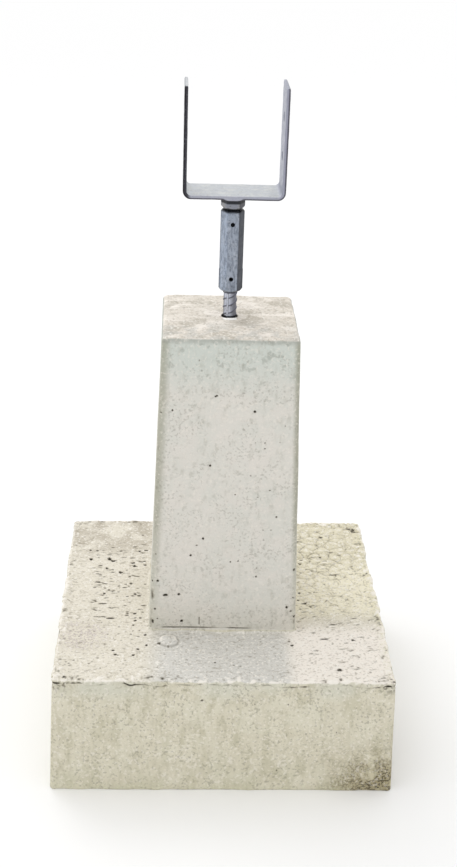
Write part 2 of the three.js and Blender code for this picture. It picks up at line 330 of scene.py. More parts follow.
def column_rings():
    rings = []
    for angle in np.linspace(0, math.pi / 2, FOOT_STEPS + 1):
        z = SLAB_HEIGHT + FOOT_FILLET * (1 - math.cos(angle))
        reach = FOOT_FILLET * (1 - math.sin(angle))
        rings.append(square_ring(column_width(z) + 2 * reach, COLUMN_CORNER_RADIUS + reach, z))
    foot = SLAB_HEIGHT + FOOT_FILLET
    dense_end = foot + NEAR_FOOT
    column = [*spaced(foot + 0.3, dense_end, 0.5), *spaced(dense_end, COLUMN_TOP - 6, POINT_SPACING)]
    rings += [square_ring(column_width(z), COLUMN_CORNER_RADIUS, z) for z in column]
    rings += rounded_edge(COLUMN_TOP, COLUMN_HEAD_RADIUS, column_width, COLUMN_CORNER_RADIUS, HEAD_STEPS)
    head = column_width(COLUMN_TOP) / 2 - COLUMN_HEAD_RADIUS
    for half in spaced(head - 1, BORE_MOUTH_RADIUS + 0.5, POINT_SPACING):
        share = (half - BORE_MOUTH_RADIUS) / head
        radius = BORE_MOUTH_RADIUS + (COLUMN_CORNER_RADIUS - BORE_MOUTH_RADIUS) * share
        rings.append(square_ring(2 * half, min(radius, half), COLUMN_TOP))
    mouth = [(BORE_MOUTH_RADIUS, 0), (BORE_MOUTH_RADIUS - 0.1, 1), (BORE_RADIUS, 3), (BORE_RADIUS, 6)]
    for radius, down in [*mouth, (BORE_RADIUS, COLUMN_TOP - BORE_BOTTOM)]:
        rings.append(square_ring(2 * radius, radius, COLUMN_TOP - down))
    return rings


casting_mesh = ring_mesh("concrete_casting", slab_rings() + column_rings())
print(f"plain casting: {len(casting_mesh.vertices)} points")

# %% [markdown]
# ## Marks in the surface
# The mould left blowholes, where air was trapped against the form, and the trowel left gouges and short
# chatter marks on the slab's top. Each is a small hollow with an uneven outline. The larger ones on the
# front are placed as they are, and the fine ones are strewn by chance, each kind on the part of the slab
# where it belongs.

# %% Blowholes and gouges
# Each mark is x, height over the ground, length, breadth and depth, in millimetres.
COLUMN_FRONT_MARKS = [
    (-15, 449, 5, 2.6, 1.6), (-64, 431, 2.6, 2.4, 1.4), (-77, 428, 2.2, 2, 1.4), (29, 431, 4, 3.4, 1.4),
    (64, 414, 2, 2, 0.8), (42, 393, 2.4, 2, 1.4), (31, 393, 2.2, 2, 0.8), (42, 386, 2.4, 2, 1.4),
    (59, 394, 2, 2, 0.6), (69, 448, 2, 2, 0.6), (-20, 364, 3.4, 2.4, 1.6), (27, 352, 2.6, 2, 0.8),
    (-84, 335, 4, 4, 2), (50, 334, 2.6, 2.2, 1), (10, 328, 2.6, 2.2, 1), (36, 325, 2.4, 2, 0.8),
    (59, 300, 3, 2.6, 1.4), (53, 283, 2.4, 2, 0.8), (44, 283, 2.4, 2, 0.8), (45, 270, 2.4, 2, 0.8),
    (-26, 271, 3, 2.8, 2), (-33, 262, 3, 2.4, 1.6), (-40, 249, 3, 2.4, 1.6), (7, 241, 2.6, 2.2, 1),
    (16, 242, 2.6, 2.2, 1), (38, 222, 2.4, 2.4, 1.2), (38, 233, 2, 2, 0.8), (83, 231, 3, 3, 1.4),
    (-78, 215, 3.4, 3, 1.4), (-85, 214, 2.6, 2.6, 1.2), (-69, 196, 6, 3.4, 1.6), (-53, 197, 4.4, 2.8, 1.4),
    (-81, 177, 3, 2.8, 1.4), (76, 181, 3.4, 3.4, 1.8), (81, 176, 3.6, 2.4, 1), (83, 194, 2.4, 2.4, 1),
    (-49, 161, 4.4, 4, 1.8), (-78, 164, 2.6, 2.6, 1), (86, 168, 3, 4, 1.4), (-84, 160, 3, 5, 1.6),
    (-35, 491, 2, 2.6, 0.6), (-32, 479, 3, 3, 0.5), (3, 479, 3, 2, 0.5), (-9, 486, 3, 10, 0.4),
    (-10, 474, 3, 2, 0.5), (16, 453, 4, 3, 0.5), (17, 409, 4, 4, 0.4), (-81, 250, 2.4, 2.4, 1),
]
SLAB_FRONT_MARKS = [
    (-25, 122, 3, 3, 1.4), (35, 117, 2.4, 2.4, 1.2), (73, 118, 2, 2, 1), (131, 80, 2.6, 2.6, 1),
    (95, 78, 2, 2, 0.8), (-174, 121, 3, 3, 0.6), (47, 51, 2.4, 2.4, 1), (64, 28, 3, 3, 1.4),
    (-99, 59, 2, 2, 0.8), (-150, 51, 3, 2.4, 0.8), (-26, 78, 2, 2, 0.6), (-38, 100, 3, 2.4, 0.6),
    (-19, 115, 15, 2, 0.3), (33, 24, 12, 2, 0.3),
]
# On the slab's top the second number is y.
SLAB_TOP_MARKS = [
    (-167, 88, 5, 7, 1.8), (-143, 90, 5, 7, 2.2), (-137, 85, 9, 4, 1.4), (-112, 79, 6, 5, 2.4),
    (-110, 71, 5, 5, 2.6), (-97, 83, 5, 3.5, 1.4), (-96, 74, 5, 4, 1.4), (-145, 63, 4, 5, 1.8),
    (-154, 71, 6, 3.5, 1.2), (-127, 53, 5, 6, 2.6), (-115, 43, 4, 4, 1), (-113, 25, 4, 4.5, 1.8),
    (-104, 110, 4, 4, 1.4), (-101, 155, 4, 3.5, 1), (-180, 150, 4, 3, 0.8), (-169, 112, 4, 4, 1.2),
    (-160, 112, 4, 4, 1.2), (-107, -1, 4, 4.5, 1.4), (-106, -48, 5, 4, 1.3), (-115, -48, 4, 3.5, 1),
    (-105, -64, 4, 4, 1.2), (-99, -58, 4, 4, 1.2), (-107, -74, 4, 4, 1.2), (-109, -95, 3, 3, 1),
    (-92, -96, 4, 4.5, 1.3), (-100, -128, 4, 4, 1.4), (-129, -131, 4, 4, 1.4), (-126, -140, 4.5, 4.5, 1.4),
    (-105, -141, 4, 4, 1.3), (-135, -59, 13, 4, 1), (-10, -155, 3.4, 3.4, 1.2), (-90, -119, 4, 4, 1.4),
    (141, 153, 6, 6, 1), (109, 90, 5, 4, 2), (106, 80, 6, 4, 2), (100, 30, 4, 4, 1.2), (100, 4, 4, 4, 1.2),
    (97, -13, 4, 5, 2), (156, -105, 5, 4, 2), (82, -117, 5, 4, 1.2), (79, -109, 4, 4, 0.8),
    (133, -169, 6, 5, 1.2), (122, -103, 13, 3.5, 1), (135, -70, 12, 3, 1), (150, 52, 20, 3, 1),
    (128, 96, 24, 3, 0.8), (104, 138, 22, 3, 0.8),
]
# Strewn marks are how many, the field from x, y to x, y, then ranges for length, breadth, depth and turn in
# degrees.
CHATTER = [
    (130, (-160, -60, -94, 130), (4, 9), (2.2, 3.2), (0.4, 1.1), (-16, 16)),
    (70, (-188, -110, -140, 190), (4.5, 8), (2.2, 3.2), (0.15, 0.5), (-8, 8)),
    (80, (-185, -190, -92, -60), (2.6, 4.5), (2.6, 3.6), (0.3, 0.8), (-40, 40)),
    (70, (-90, 96, 90, 190), (5, 12), (2.4, 3.4), (0.2, 0.6), (-10, 10)),
    (70, (-90, -188, 92, -96), (2.6, 4), (2.6, 4), (0.2, 0.6), (-40, 40)),
    (110, (92, -190, 188, -20), (4, 12), (2.4, 3.4), (0.2, 0.7), (5, 35)),
    (70, (92, -20, 188, 190), (4, 14), (2.2, 3), (0.2, 0.6), (-25, 15)),
]
HIDDEN_BLOWHOLES = 32  # on each of the column's other three sides, and half as many on the slab's
HEAD_MARKS, HEAD_FIELD, HEAD_RING_RADIUS = 45, 66, 22  # on the column's head, outside a ring round the bar
FACING_FRONT = (Vector((1, 0, 0)), Vector((0, 0, 1)))
FACING_UP = (Vector((1, 0, 0)), Vector((0, 1, 0)))
FRONT_TURN, TOP_TURN = 8, 5  # how far the placed marks lean, in degrees


def front_face_y(z):
    """Where the front is at a height: on the slab below, on the column above."""
    return -column_width(z) / 2 if z > SLAB_HEIGHT else -slab_width(z) / 2


def placed_marks():
    """Every mark as its middle, the two directions of its face, length, breadth, depth and turn."""
    fronts = COLUMN_FRONT_MARKS + SLAB_FRONT_MARKS
    marks = [((x, front_face_y(z), z), FACING_FRONT, *size, FRONT_TURN) for x, z, *size in fronts]
    return marks + [((x, y, SLAB_HEIGHT), FACING_UP, *size, TOP_TURN) for x, y, *size in SLAB_TOP_MARKS]


def strewn_marks():
    """The marks that fall by chance, as placed_marks gives them."""
    chance = np.random.default_rng(11)
    marks = []
    for count, (x0, y0, x1, y1), *ranges in CHATTER:
        for _ in range(count):
            x, y = chance.uniform(x0, x1), chance.uniform(y0, y1)
            marks.append(((x, y, SLAB_HEIGHT), FACING_UP, *[chance.uniform(*r) for r in ranges]))
    for _ in range(HEAD_MARKS):
        x, y = chance.uniform(-HEAD_FIELD, HEAD_FIELD, 2)
        size = chance.uniform(2, 4)
        if math.hypot(x, y) > HEAD_RING_RADIUS:
            marks.append(((x, y, COLUMN_TOP), FACING_UP, size * 1.4, size, 0.4, chance.uniform(-20, 20)))
    for turn in (1, 2, 3):
        spin = Matrix.Rotation(turn * math.pi / 2, 3, "Z")
        for on_column in [True] * HIDDEN_BLOWHOLES + [False] * (HIDDEN_BLOWHOLES // 2):
            z = chance.uniform(160, 500) if on_column else chance.uniform(8, 132)
            along = chance.uniform(-0.46, 0.46) * (column_width(z) if on_column else slab_width(z))
            size = chance.uniform(1.8, 4)
            spot = spin @ Vector((along, front_face_y(z), z))
            face = (spin @ FACING_FRONT[0], FACING_FRONT[1])
            length, tilt = size * chance.uniform(1, 1.7), chance.uniform(-30, 30)
            marks.append((tuple(spot), face, length, size, size * 0.3, tilt))
    return marks


def hollows(points):
    """How deep each point lies in a mark, in millimetres."""
    depth = np.zeros(len(points))
    ragged = 1 + 0.28 * smooth_noise(points / 1.8, 71)
    order = np.argsort(points[:, 0], kind="stable")
    across = points[order, 0]
    for middle, (along, over), length, breadth, deep, turn in placed_marks() + strewn_marks():
        reach = max(length, breadth)
        first, last = np.searchsorted(across, [middle[0] - reach, middle[0] + reach])
        near = order[first:last]
        offset = points[near] - middle
        close = (np.abs(offset) < reach).all(axis=1)
        near, offset = near[close], offset[close]
        u, v = offset @ np.array(along), offset @ np.array(over)
        cos, sin = math.cos(math.radians(turn)), math.sin(math.radians(turn))
        away = np.hypot((u * cos + v * sin) / (length / 2), (v * cos - u * sin) / (breadth / 2))
        depth[near] = np.maximum(depth[near], deep * (1 - rise(away * ragged[near], 0.55, 1.15)))
    return depth


# %% [markdown]
# ## The trowelled top
# On the right the trowel lifted the paste into small overlapping scales, about 15 mm across. They are cells
# of a cracked pattern, each a low dome with a crease round it. Elsewhere the top is only uneven, and it
# carries a pebble just under the paste. Towards the rim the surface breaks into lumps. The creases, the
# hollows between the lumps and a ring round each bump are painted darker as shade, and the dome tops, the
# lump tops and the back of each bump are painted lighter as highlights.

# %% Slab top relief
SCALE_WIDTH, SCALE_DEPTH, SCALE_HEIGHT = 15, 14, 2.0
# A bump is x, y, length, breadth and height. The first is a pebble just under the paste.
SLAB_TOP_BUMPS = [
    (-65, -110, 24, 25, 4.2), (-17, -97, 13, 12, 1.5), (-30, -182, 20, 9, 1.8), (96, -178, 26, 8, 1.4),
    (-120, -185, 16, 9, 2), (-150, -183, 18, 8, 1.6), (-88, -186, 14, 8, 2.2), (48, -184, 22, 7, 1.2),
]
# A crease is a line over the top from x, y to x, y, with its depth.
CREASES = [
    ((96, 62), (160, 44), 1.2), ((120, 12), (165, -12), 1.2), ((92, 112), (150, 100), 0.9),
    ((124, -8), (160, -32), -1.4), ((100, -20), (128, -40), 1.0), ((150, 90), (186, 60), 0.9),
    ((140, 140), (180, 120), 0.9), ((100, 165), (160, 150), 0.8),
]


def scale_domes(points, seed):
    """Distance to the nearest scale's middle and to the crease round it, in shares of a scale."""
    flat = points[:, :2] / (SCALE_WIDTH, SCALE_DEPTH)
    bent = np.column_stack([smooth_noise(points / 16, seed), smooth_noise(points / 13, seed + 1)])
    flat = flat + 0.3 * bent
    cells = np.floor(flat).astype(np.int64)
    nearest = np.full(len(points), 9.0)
    second = nearest.copy()
    for shift in np.ndindex(3, 3):
        cell = cells + np.array(shift) - 1
        middle = cell + np.column_stack([cell_chance(cell, seed + 2), cell_chance(cell, seed + 3)])
        away = np.linalg.norm(flat - middle, axis=1)
        second = np.minimum(second, np.maximum(nearest, away))
        nearest = np.minimum(nearest, away)
    return nearest, second - nearest


def line_distance(points, start, end):
    """Distance over the ground from a short line."""
    start, end = np.array(start, float), np.array(end, float)
    along = end - start
    share = np.clip((points[:, :2] - start) @ along / (along @ along), 0, 1)
    return np.linalg.norm(points[:, :2] - start - share[:, None] * along, axis=1)


def from_rim(points):
    """How far points lie in from the slab's rim."""
    return SLAB_RIM_WIDTH / 2 - np.abs(points[:, :2]).max(axis=1)


def slab_top_relief(points):
    """Height of the slab's top over its plain level, and its painted shade: above 0 in creases, between lumps
    and round bumps, below 0 for painted highlights.
    """
    x, y = points[:, 0], points[:, 1]
    nearest, crease_away = scale_domes(points, 21)
    right_side = rise(x, 84, 98) * (0.3 + 0.7 * rise(y, -60, -10))
    patchy = np.clip(0.9 + 0.4 * smooth_noise(points / 37, 29), 0.55, 1)
    crease = (1 - rise(crease_away, 0.02, 0.2)) * patchy
    height = right_side * (SCALE_HEIGHT * (1 - 1.2 * nearest**2) * patchy - 0.8 * crease)
    # Painted shade in the creases, and a painted highlight on each dome's top.
    shade_and_highlight = right_side * (0.5 * crease - 0.5 * patchy * (1 - rise(nearest, 0.12, 0.42)))
    for start, end, deep in CREASES:
        away = line_distance(points + 3 * smooth_noise(points / 12, 33)[:, None], start, end)
        height -= deep * bell(away, 0, 1.6)
        # Painted shade along each crease line.
        shade_and_highlight += 0.4 * max(deep, 0) * bell(away, 0, 1.1)
    height += 0.5 * layered_noise(points, 26, 2, 41) + 0.3 * layered_noise(points * (0.7, 1, 1), 6, 2, 44)
    edge = from_rim(points)
    lumps = layered_noise(points, 5.5, 2, 47)
    height += (1 - rise(edge, 6, 26)) * (0.9 * lumps + 0.5 * np.abs(lumps))
    near_rim = 1 - rise(edge, 5, 16)
    # Painted shade between the lumps near the rim, and a painted highlight on their tops.
    shade_and_highlight += near_rim * (1.1 * np.clip(-lumps - 0.2, 0, 1) - 1.3 * np.clip(lumps - 0.1, 0, 1))
    for bump_x, bump_y, length, breadth, tall in SLAB_TOP_BUMPS:
        away = np.hypot((x - bump_x) / (length / 2), (y - bump_y) / (breadth / 2))
        away = away * (1 + 0.15 * smooth_noise(points / 9, 51))
        height += tall * np.sqrt(np.clip(1 - away**2, 0, 1))
        # Painted shade in a ring round each bump, and a painted highlight on its back.
        lit = bell(away, 0.7, 0.2) * (y > bump_y - 4)
        shade_and_highlight += tall * (0.13 * bell(away, 1.0, 0.13) - 0.17 * lit)
    return height, shade_and_highlight


# %% [markdown]
# ## Crust, seams and arrises
# The trowel pushed a ragged crust over the slab's rim. The shade under it is painted dark and the crust's
# edge is painted light as a highlight, with some grime at the corners. Where the column's form met the slab,
# paste was squeezed out and left a thin open line. The arrises lost a few chips when the forms came off.
# These are also heights, written as functions of where a point lies on the block.

# %% Crust, foot line and chips
# A shadow under the front rim is where it is across the front, its reach and its strength.
RIM_SHADOWS = [
    (-192, 8, 1.3), (-167, 9, 0.7), (-143, 6, 0.5), (-108, 9, 1.2), (-77, 16, 0.65), (-35, 22, 0.4),
    (12, 22, 0.55), (52, 14, 0.35), (82, 10, 1.2), (108, 12, 0.4), (150, 18, 0.35), (186, 12, 0.9),
]
FORM_LINE_HEIGHT, FORM_LINE_DEPTH = 5, 2.2  # how high over the slab's top, and how deep
# A chip is which arris (left or right of the front), its height, half its length and its depth.
ARRIS_CHIPS = [
    (-1, 196, 9, 3.2), (-1, 335, 5, 1.6), (-1, 286, 4, 1), (-1, 172, 6, 1.4), (-1, 158, 8, 2),
    (-1, 431, 3, 1), (1, 231, 4, 1.2), (1, 178, 5, 1.4), (1, 160, 8, 1.8), (1, 300, 3, 0.8),
    (-1, 247, 3, 1), (-1, 228, 4, 0.9),
]


def rim_relief(points):
    """The crust's height, and how it is painted: above 0 for painted shade under it and grime at the corners,
    below 0 for light paste with a painted highlight.
    """
    x, y, z = points.T
    below = SLAB_HEIGHT - z
    inward = from_rim(points)
    on_side = inward < 2.5
    around = points * (1, 1, 0)
    lip = 2.6 + 2.5 * layered_noise(around, 15, 2, 61)
    proud = np.clip(0.9 + 1.5 * layered_noise(around, 24, 2, 62), 0.1, 3)
    over_top = bell(np.clip(inward, 0, None), 2.5, 5)
    crust = np.where(on_side, 1 - rise(below, lip - 0.4, lip + 0.9), over_top)
    height = crust * proud * (0.85 + 0.3 * smooth_noise(points / 4, 63))
    shade = on_side * rise(below, lip, lip + 0.6) * (1 - rise(below, lip + 1.4, lip + 3.2))
    open_shade = np.clip(0.3 + 0.9 * smooth_noise(around / 33, 65), 0, 1)
    placed = sum(strength * bell(x, middle, reach) for middle, reach, strength in RIM_SHADOWS)
    front_shade = (placed + 0.15) * (0.9 + 0.8 * smooth_noise(around / 4, 66))
    open_shade = np.where(y < -150, front_shade, open_shade)
    height -= 0.9 * shade * open_shade
    at_corner = rise(np.minimum(abs(x), abs(y)), 155, 185)
    at_corner *= np.where(on_side, bell(below, 5, 11), bell(inward, 0, 12))
    crumbs = np.abs(layered_noise(points, 3.6, 3, 64))
    height -= 1.6 * at_corner * crumbs
    corner_dirt = at_corner * np.clip(1.6 * crumbs - 0.15, 0, 0.8)
    # Light paste along the crust's top edge, painted lighter still as a highlight.
    paste = np.clip(0.5 + 0.9 * layered_noise(points, 6, 3, 68), 0, 1)
    paste *= on_side * bell(below, 0.6, 1.3)
    return height, shade * open_shade + corner_dirt - 0.9 * paste


def foot_line(points):
    """How open the line at the column's foot is, from 0 to about 1, with one short upright tick."""
    x, y, z = points.T
    wander = 0.6 * smooth_noise(points / 30, 67)
    line = bell(z, SLAB_HEIGHT + FORM_LINE_HEIGHT + wander, 0.7)
    line *= np.clip(0.5 + 0.9 * smooth_noise(points / 13, 69), 0.12, 1)
    front = (y < 0) & (abs(x) < COLUMN_FOOT_WIDTH / 2 - 3)
    span = rise(x, -78, -70) * (1 - rise(x, 50, 66))
    stronger = 0.75 + 0.8 * bell(x, -24, 24)
    tick = bell(x, -28, 0.8) * (abs(z - SLAB_HEIGHT - 14) < 5)
    opening = np.where(front, np.maximum(line * span * stronger, 0.6 * tick), 0.4 * line)
    return opening * (z < 180) * (z > 148)


def arris_wear(points):
    """How much the column's upright edges have lost, in millimetres."""
    x, y, z = points.T
    half = column_width(z) / 2
    near_edge = bell(np.minimum(abs(x), abs(y)), half, 4.5) * (z > SLAB_HEIGHT + 2)
    nicks = np.clip(layered_noise(points * (1, 1, 0.6), 8, 3, 73) - 0.2, 0, 1)
    worn = 1.2 * nicks
    for side, middle, reach, deep in ARRIS_CHIPS:
        here = (x * side > 0) & (y < 0)
        chip = deep * np.clip(1 - ((z - middle) / reach) ** 2, 0, 1)
        worn += here * chip * (0.8 + 0.4 * smooth_noise(points / 3, 75))
    return near_edge * worn


def carve(points, normals):
    """Height of the real surface over the plain form, and how it is painted: above 0 for painted shade in
    hollows, creases, the bore and under the crust, with some grime, below 0 for light paste and painted
    highlights.
    """
    z, facing_up = points[:, 2], normals[:, 2]
    height, shade_and_dirt = np.zeros(len(points)), np.zeros(len(points))
    level = rise(facing_up, 0.35, 0.8)
    height += (1 - level) * 0.3 * smooth_noise(points / 70, 81)
    top = np.flatnonzero((level > 0) & (z > 100) & (z < 250))
    top_height, top_shade_and_highlight = slab_top_relief(points[top])
    height[top] += level[top] * top_height
    shade_and_dirt[top] += level[top] * top_shade_and_highlight
    far_out = np.abs(points[:, :2]).max(axis=1) > 165
    rim = np.flatnonzero((z > SLAB_HEIGHT - 30) & (z < SLAB_HEIGHT + 2) & far_out)
    crust, shade = rim_relief(points[rim])
    height[rim] += crust
    shade_and_dirt[rim] += shade
    head = np.flatnonzero(z > COLUMN_TOP - 20)
    at = points[head]
    height[head] += level[head] * 0.3 * layered_noise(at * (0.5, 1, 1), 7, 3, 87)
    height[head] += bell(at[:, 2], COLUMN_TOP, 5) * 0.5 * layered_noise(at, 15, 2, 91)
    height += bell(z, 0, 4) * 0.7 * smooth_noise(points / 11, 93)
    column = np.flatnonzero((z > SLAB_HEIGHT) & (level < 0.9))
    line, worn = foot_line(points[column]), arris_wear(points[column])
    height[column] -= FORM_LINE_DEPTH * line + worn
    shade_and_dirt[column] += 1.5 * line + 0.45 * worn
    paste = bell(points[column, 2], SLAB_HEIGHT + 2.5, 1.8) * smooth_noise(points[column] / 15, 95)
    height[column] += 0.8 * paste
    deep = hollows(points)
    # The deeper a mark, the darker it is painted, as shade in the hollow.
    return height - deep, np.clip(shade_and_dirt + np.minimum(deep / 0.9, 1.15), -1, 1.2)


# %% [markdown]
# Round the bar the trowel left a low lip of white paste, with the open mouth of the hole inside it. The
# mouth is painted black as shade, and the lip's front is painted white, a painted highlight on its paste.

# %% Carve the casting
LIP_RADIUS, LIP_HEIGHT = BORE_MOUTH_RADIUS + 1.6, 1.3
RING_MARK_DEPTH = 0.6  # of the mark that the trowel left round the lip
# The bore's mouth is painted black, as shade.
IN_BORE_SHADE = 1.2
points = positions(casting_mesh)
normals = point_normals(casting_mesh)
at_top = (points[:, 2] > SLAB_HEIGHT - 20) & (points[:, 2] < SLAB_HEIGHT + FOOT_FILLET)
fade = np.clip((SLAB_HEIGHT + FOOT_FILLET - points[:, 2]) / FOOT_FILLET, 0, 1)
fade *= rise(points[:, 2], SLAB_HEIGHT - 20, SLAB_HEIGHT)
points[:, 2] += np.where(at_top, fade * trowel_wave(points), 0)
height, shade_and_dirt = carve(points, normals)
from_bar = np.hypot(points[:, 0], points[:, 1])
on_head = points[:, 2] > COLUMN_TOP - 1
front_share = np.clip(-points[:, 1] / 10, 0.25, 1)
height += on_head * bell(from_bar, LIP_RADIUS, 1.5) * LIP_HEIGHT * front_share
ring_radius = HEAD_RING_RADIUS + 2 * smooth_noise(points / 9, 97)
ring_mark = on_head * bell(from_bar, ring_radius, 1.3) * (points[:, 1] < 0)
height -= RING_MARK_DEPTH * ring_mark
shade_and_dirt += 0.35 * ring_mark
in_bore = (from_bar < BORE_MOUTH_RADIUS + 0.3) & (points[:, 2] > BORE_BOTTOM - 1)
untouched = (points[:, 2] < 0.1) | in_bore
height[untouched] = 0
shade_and_dirt[untouched] = 0
shade_and_dirt[in_bore] = IN_BORE_SHADE
move_points(casting_mesh, points + normals * height[:, None])
# The number holds painted shade in hollows and under the crust, painted highlights below 0, and some real
# dirt.
keep_on_points(casting_mesh, "shade_and_dirt", shade_and_dirt)
casting = place(casting_mesh)

# %% [markdown]
# The carved mesh has far more faces than it needs on its plain stretches. A decimate modifier keeps them
# where the surface bends, in the holes and along the rim, and joins them where it is flat.

# %% Thin out the casting
CASTING_TRIANGLES = 194_000
triangle_count = sum(len(polygon.vertices) - 2 for polygon in casting_mesh.polygons)
if triangle_count > CASTING_TRIANGLES:
    thinning = casting.modifiers.new("thinning", "DECIMATE")
    thinning.ratio = CASTING_TRIANGLES / triangle_count
    apply_modifiers(casting)
soften(casting.data)
print(f"casting: {triangle_count} triangles carved, {len(casting.data.polygons)} faces kept")

# %% [markdown]
# ## Building materials
# Colours are written as the hex values a paint program shows, and one function turns them to the linear
# values Blender computes with. One more adds a node, sets it and links it. A finish is then built up as a
# painter would: a ground colour, and coats laid over it through masks. A mask comes from a place on the
# object, from a noise with a known size in millimetres, or from a number kept on the mesh.

# %% Material helpers
def linear(hex_colour):
    """An sRGB hex colour as linear RGBA."""
    channels = [int(hex_colour[i : i + 2], 16) / 255 for i in (1, 3, 5)]
    return (*[c / 12.92 if c <= 0.04045 else ((c + 0.055) / 1.055) ** 2.4 for c in channels], 1.0)


def add(tree, kind, inputs, output=0, **settings):
    """Adds a node, sets its properties, fills its inputs with values or links, and gives one output."""
    made = tree.nodes.new("ShaderNode" + kind)
    for name, value in settings.items():
        setattr(made, name, value)
    for name, value in inputs.items():
        if isinstance(value, bpy.types.NodeSocket):
            tree.links.new(value, made.inputs[name])
        else:
            made.inputs[name].default_value = value
    return made.outputs[output] if made.outputs else made


def start_material(name):
    """A new material with its place coordinates: plain, drawn out upright and drawn out sideways."""
    material = bpy.data.materials.new(name)
    material.use_nodes = True
    tree = material.node_tree
    tree.nodes.clear()
    plain = add(tree, "TexCoord", {}, "Object")
    coordinates = {
        "plain": plain,
        "upright": add(tree, "Mapping", {"Vector": plain, "Scale": (1, 1, 0.3)}),
        "sideways": add(tree, "Mapping", {"Vector": plain, "Scale": (0.3, 1, 1)}),
    }
    return material, tree, coordinates


def make_masks(tree, coordinates, zones, patterns):
    """Masks from 0 to 1. A zone is a value that fades in between two others, a pattern is noise in mm."""
    values = dict(zones)
    for name, (direction, size_mm, detail, low, high) in patterns.items():
        grain = {"Vector": coordinates[direction], "Scale": 1 / (size_mm * MM), "Detail": detail}
        values[name] = (add(tree, "TexNoise", grain), low, high)
    masks = {}
    for name, (value, low, high) in values.items():
        fade = {"Value": value, "From Min": low, "From Max": high}
        masks[name] = add(tree, "MapRange", fade, interpolation_type="SMOOTHSTEP")
    return masks


def lay_coats(tree, colour, masks, coats):
    """Lays each coat over the colour. A coat is its colour, its strength and the masks that limit it."""
    for hex_colour, strength, *names in coats:
        amount = strength
        for name in names:
            amount = add(tree, "Math", {0: amount, 1: masks[name]}, operation="MULTIPLY")
        colour = add(tree, "Mix", {0: amount, 6: colour, 7: linear(hex_colour)}, 2, data_type="RGBA")
    return colour


def finish_material(tree, inputs):
    """Adds the shader with its inputs and joins it to the output."""
    shader = add(tree, "BsdfPrincipled", inputs)
    add(tree, "OutputMaterial", {"Surface": shader})


# %% [markdown]
# ## Cast concrete
# Grey cement on pale sand. It is matt, with an IOR near 1.5. Against the form it has a skin of fine cement,
# a smooth cool grey with faint clouds, and upright streaks where water ran. The trowelled top is rougher,
# warmer and lighter, with sand grains and small voids in it. Shade is painted into the colour: dark in the
# hollows, creases, bore and under the crust, greenish grey on the arrises and low on the column, a band
# below the head's edge, and the column's shadow on the slab's top. Highlights are painted on the domes,
# lumps and crust and on the lip round the bar, and the middle of the slab top's right part is painted
# lighter as lit. Some real dirt sits at the rim's corners, and the slab's right lower corner is stained by
# soil. Sand is about 0.8 mm, drawn at 3 mm so that it shows.

# %% Concrete material
COLUMN_TAPER = (COLUMN_FOOT_WIDTH - COLUMN_HEAD_WIDTH) / 2 / (COLUMN_TOP - SLAB_HEIGHT)
ARRIS_REACH = (COLUMN_FOOT_WIDTH / 2 + COLUMN_TAPER * SLAB_HEIGHT) * MM  # half the column's width at z 0
GRAIN_RELIEF_MM = 0.35
BLOTCH_PLACE = (-168 * MM, -98 * MM, SLAB_HEIGHT * MM)  # a pinkish grey patch on the slab's top


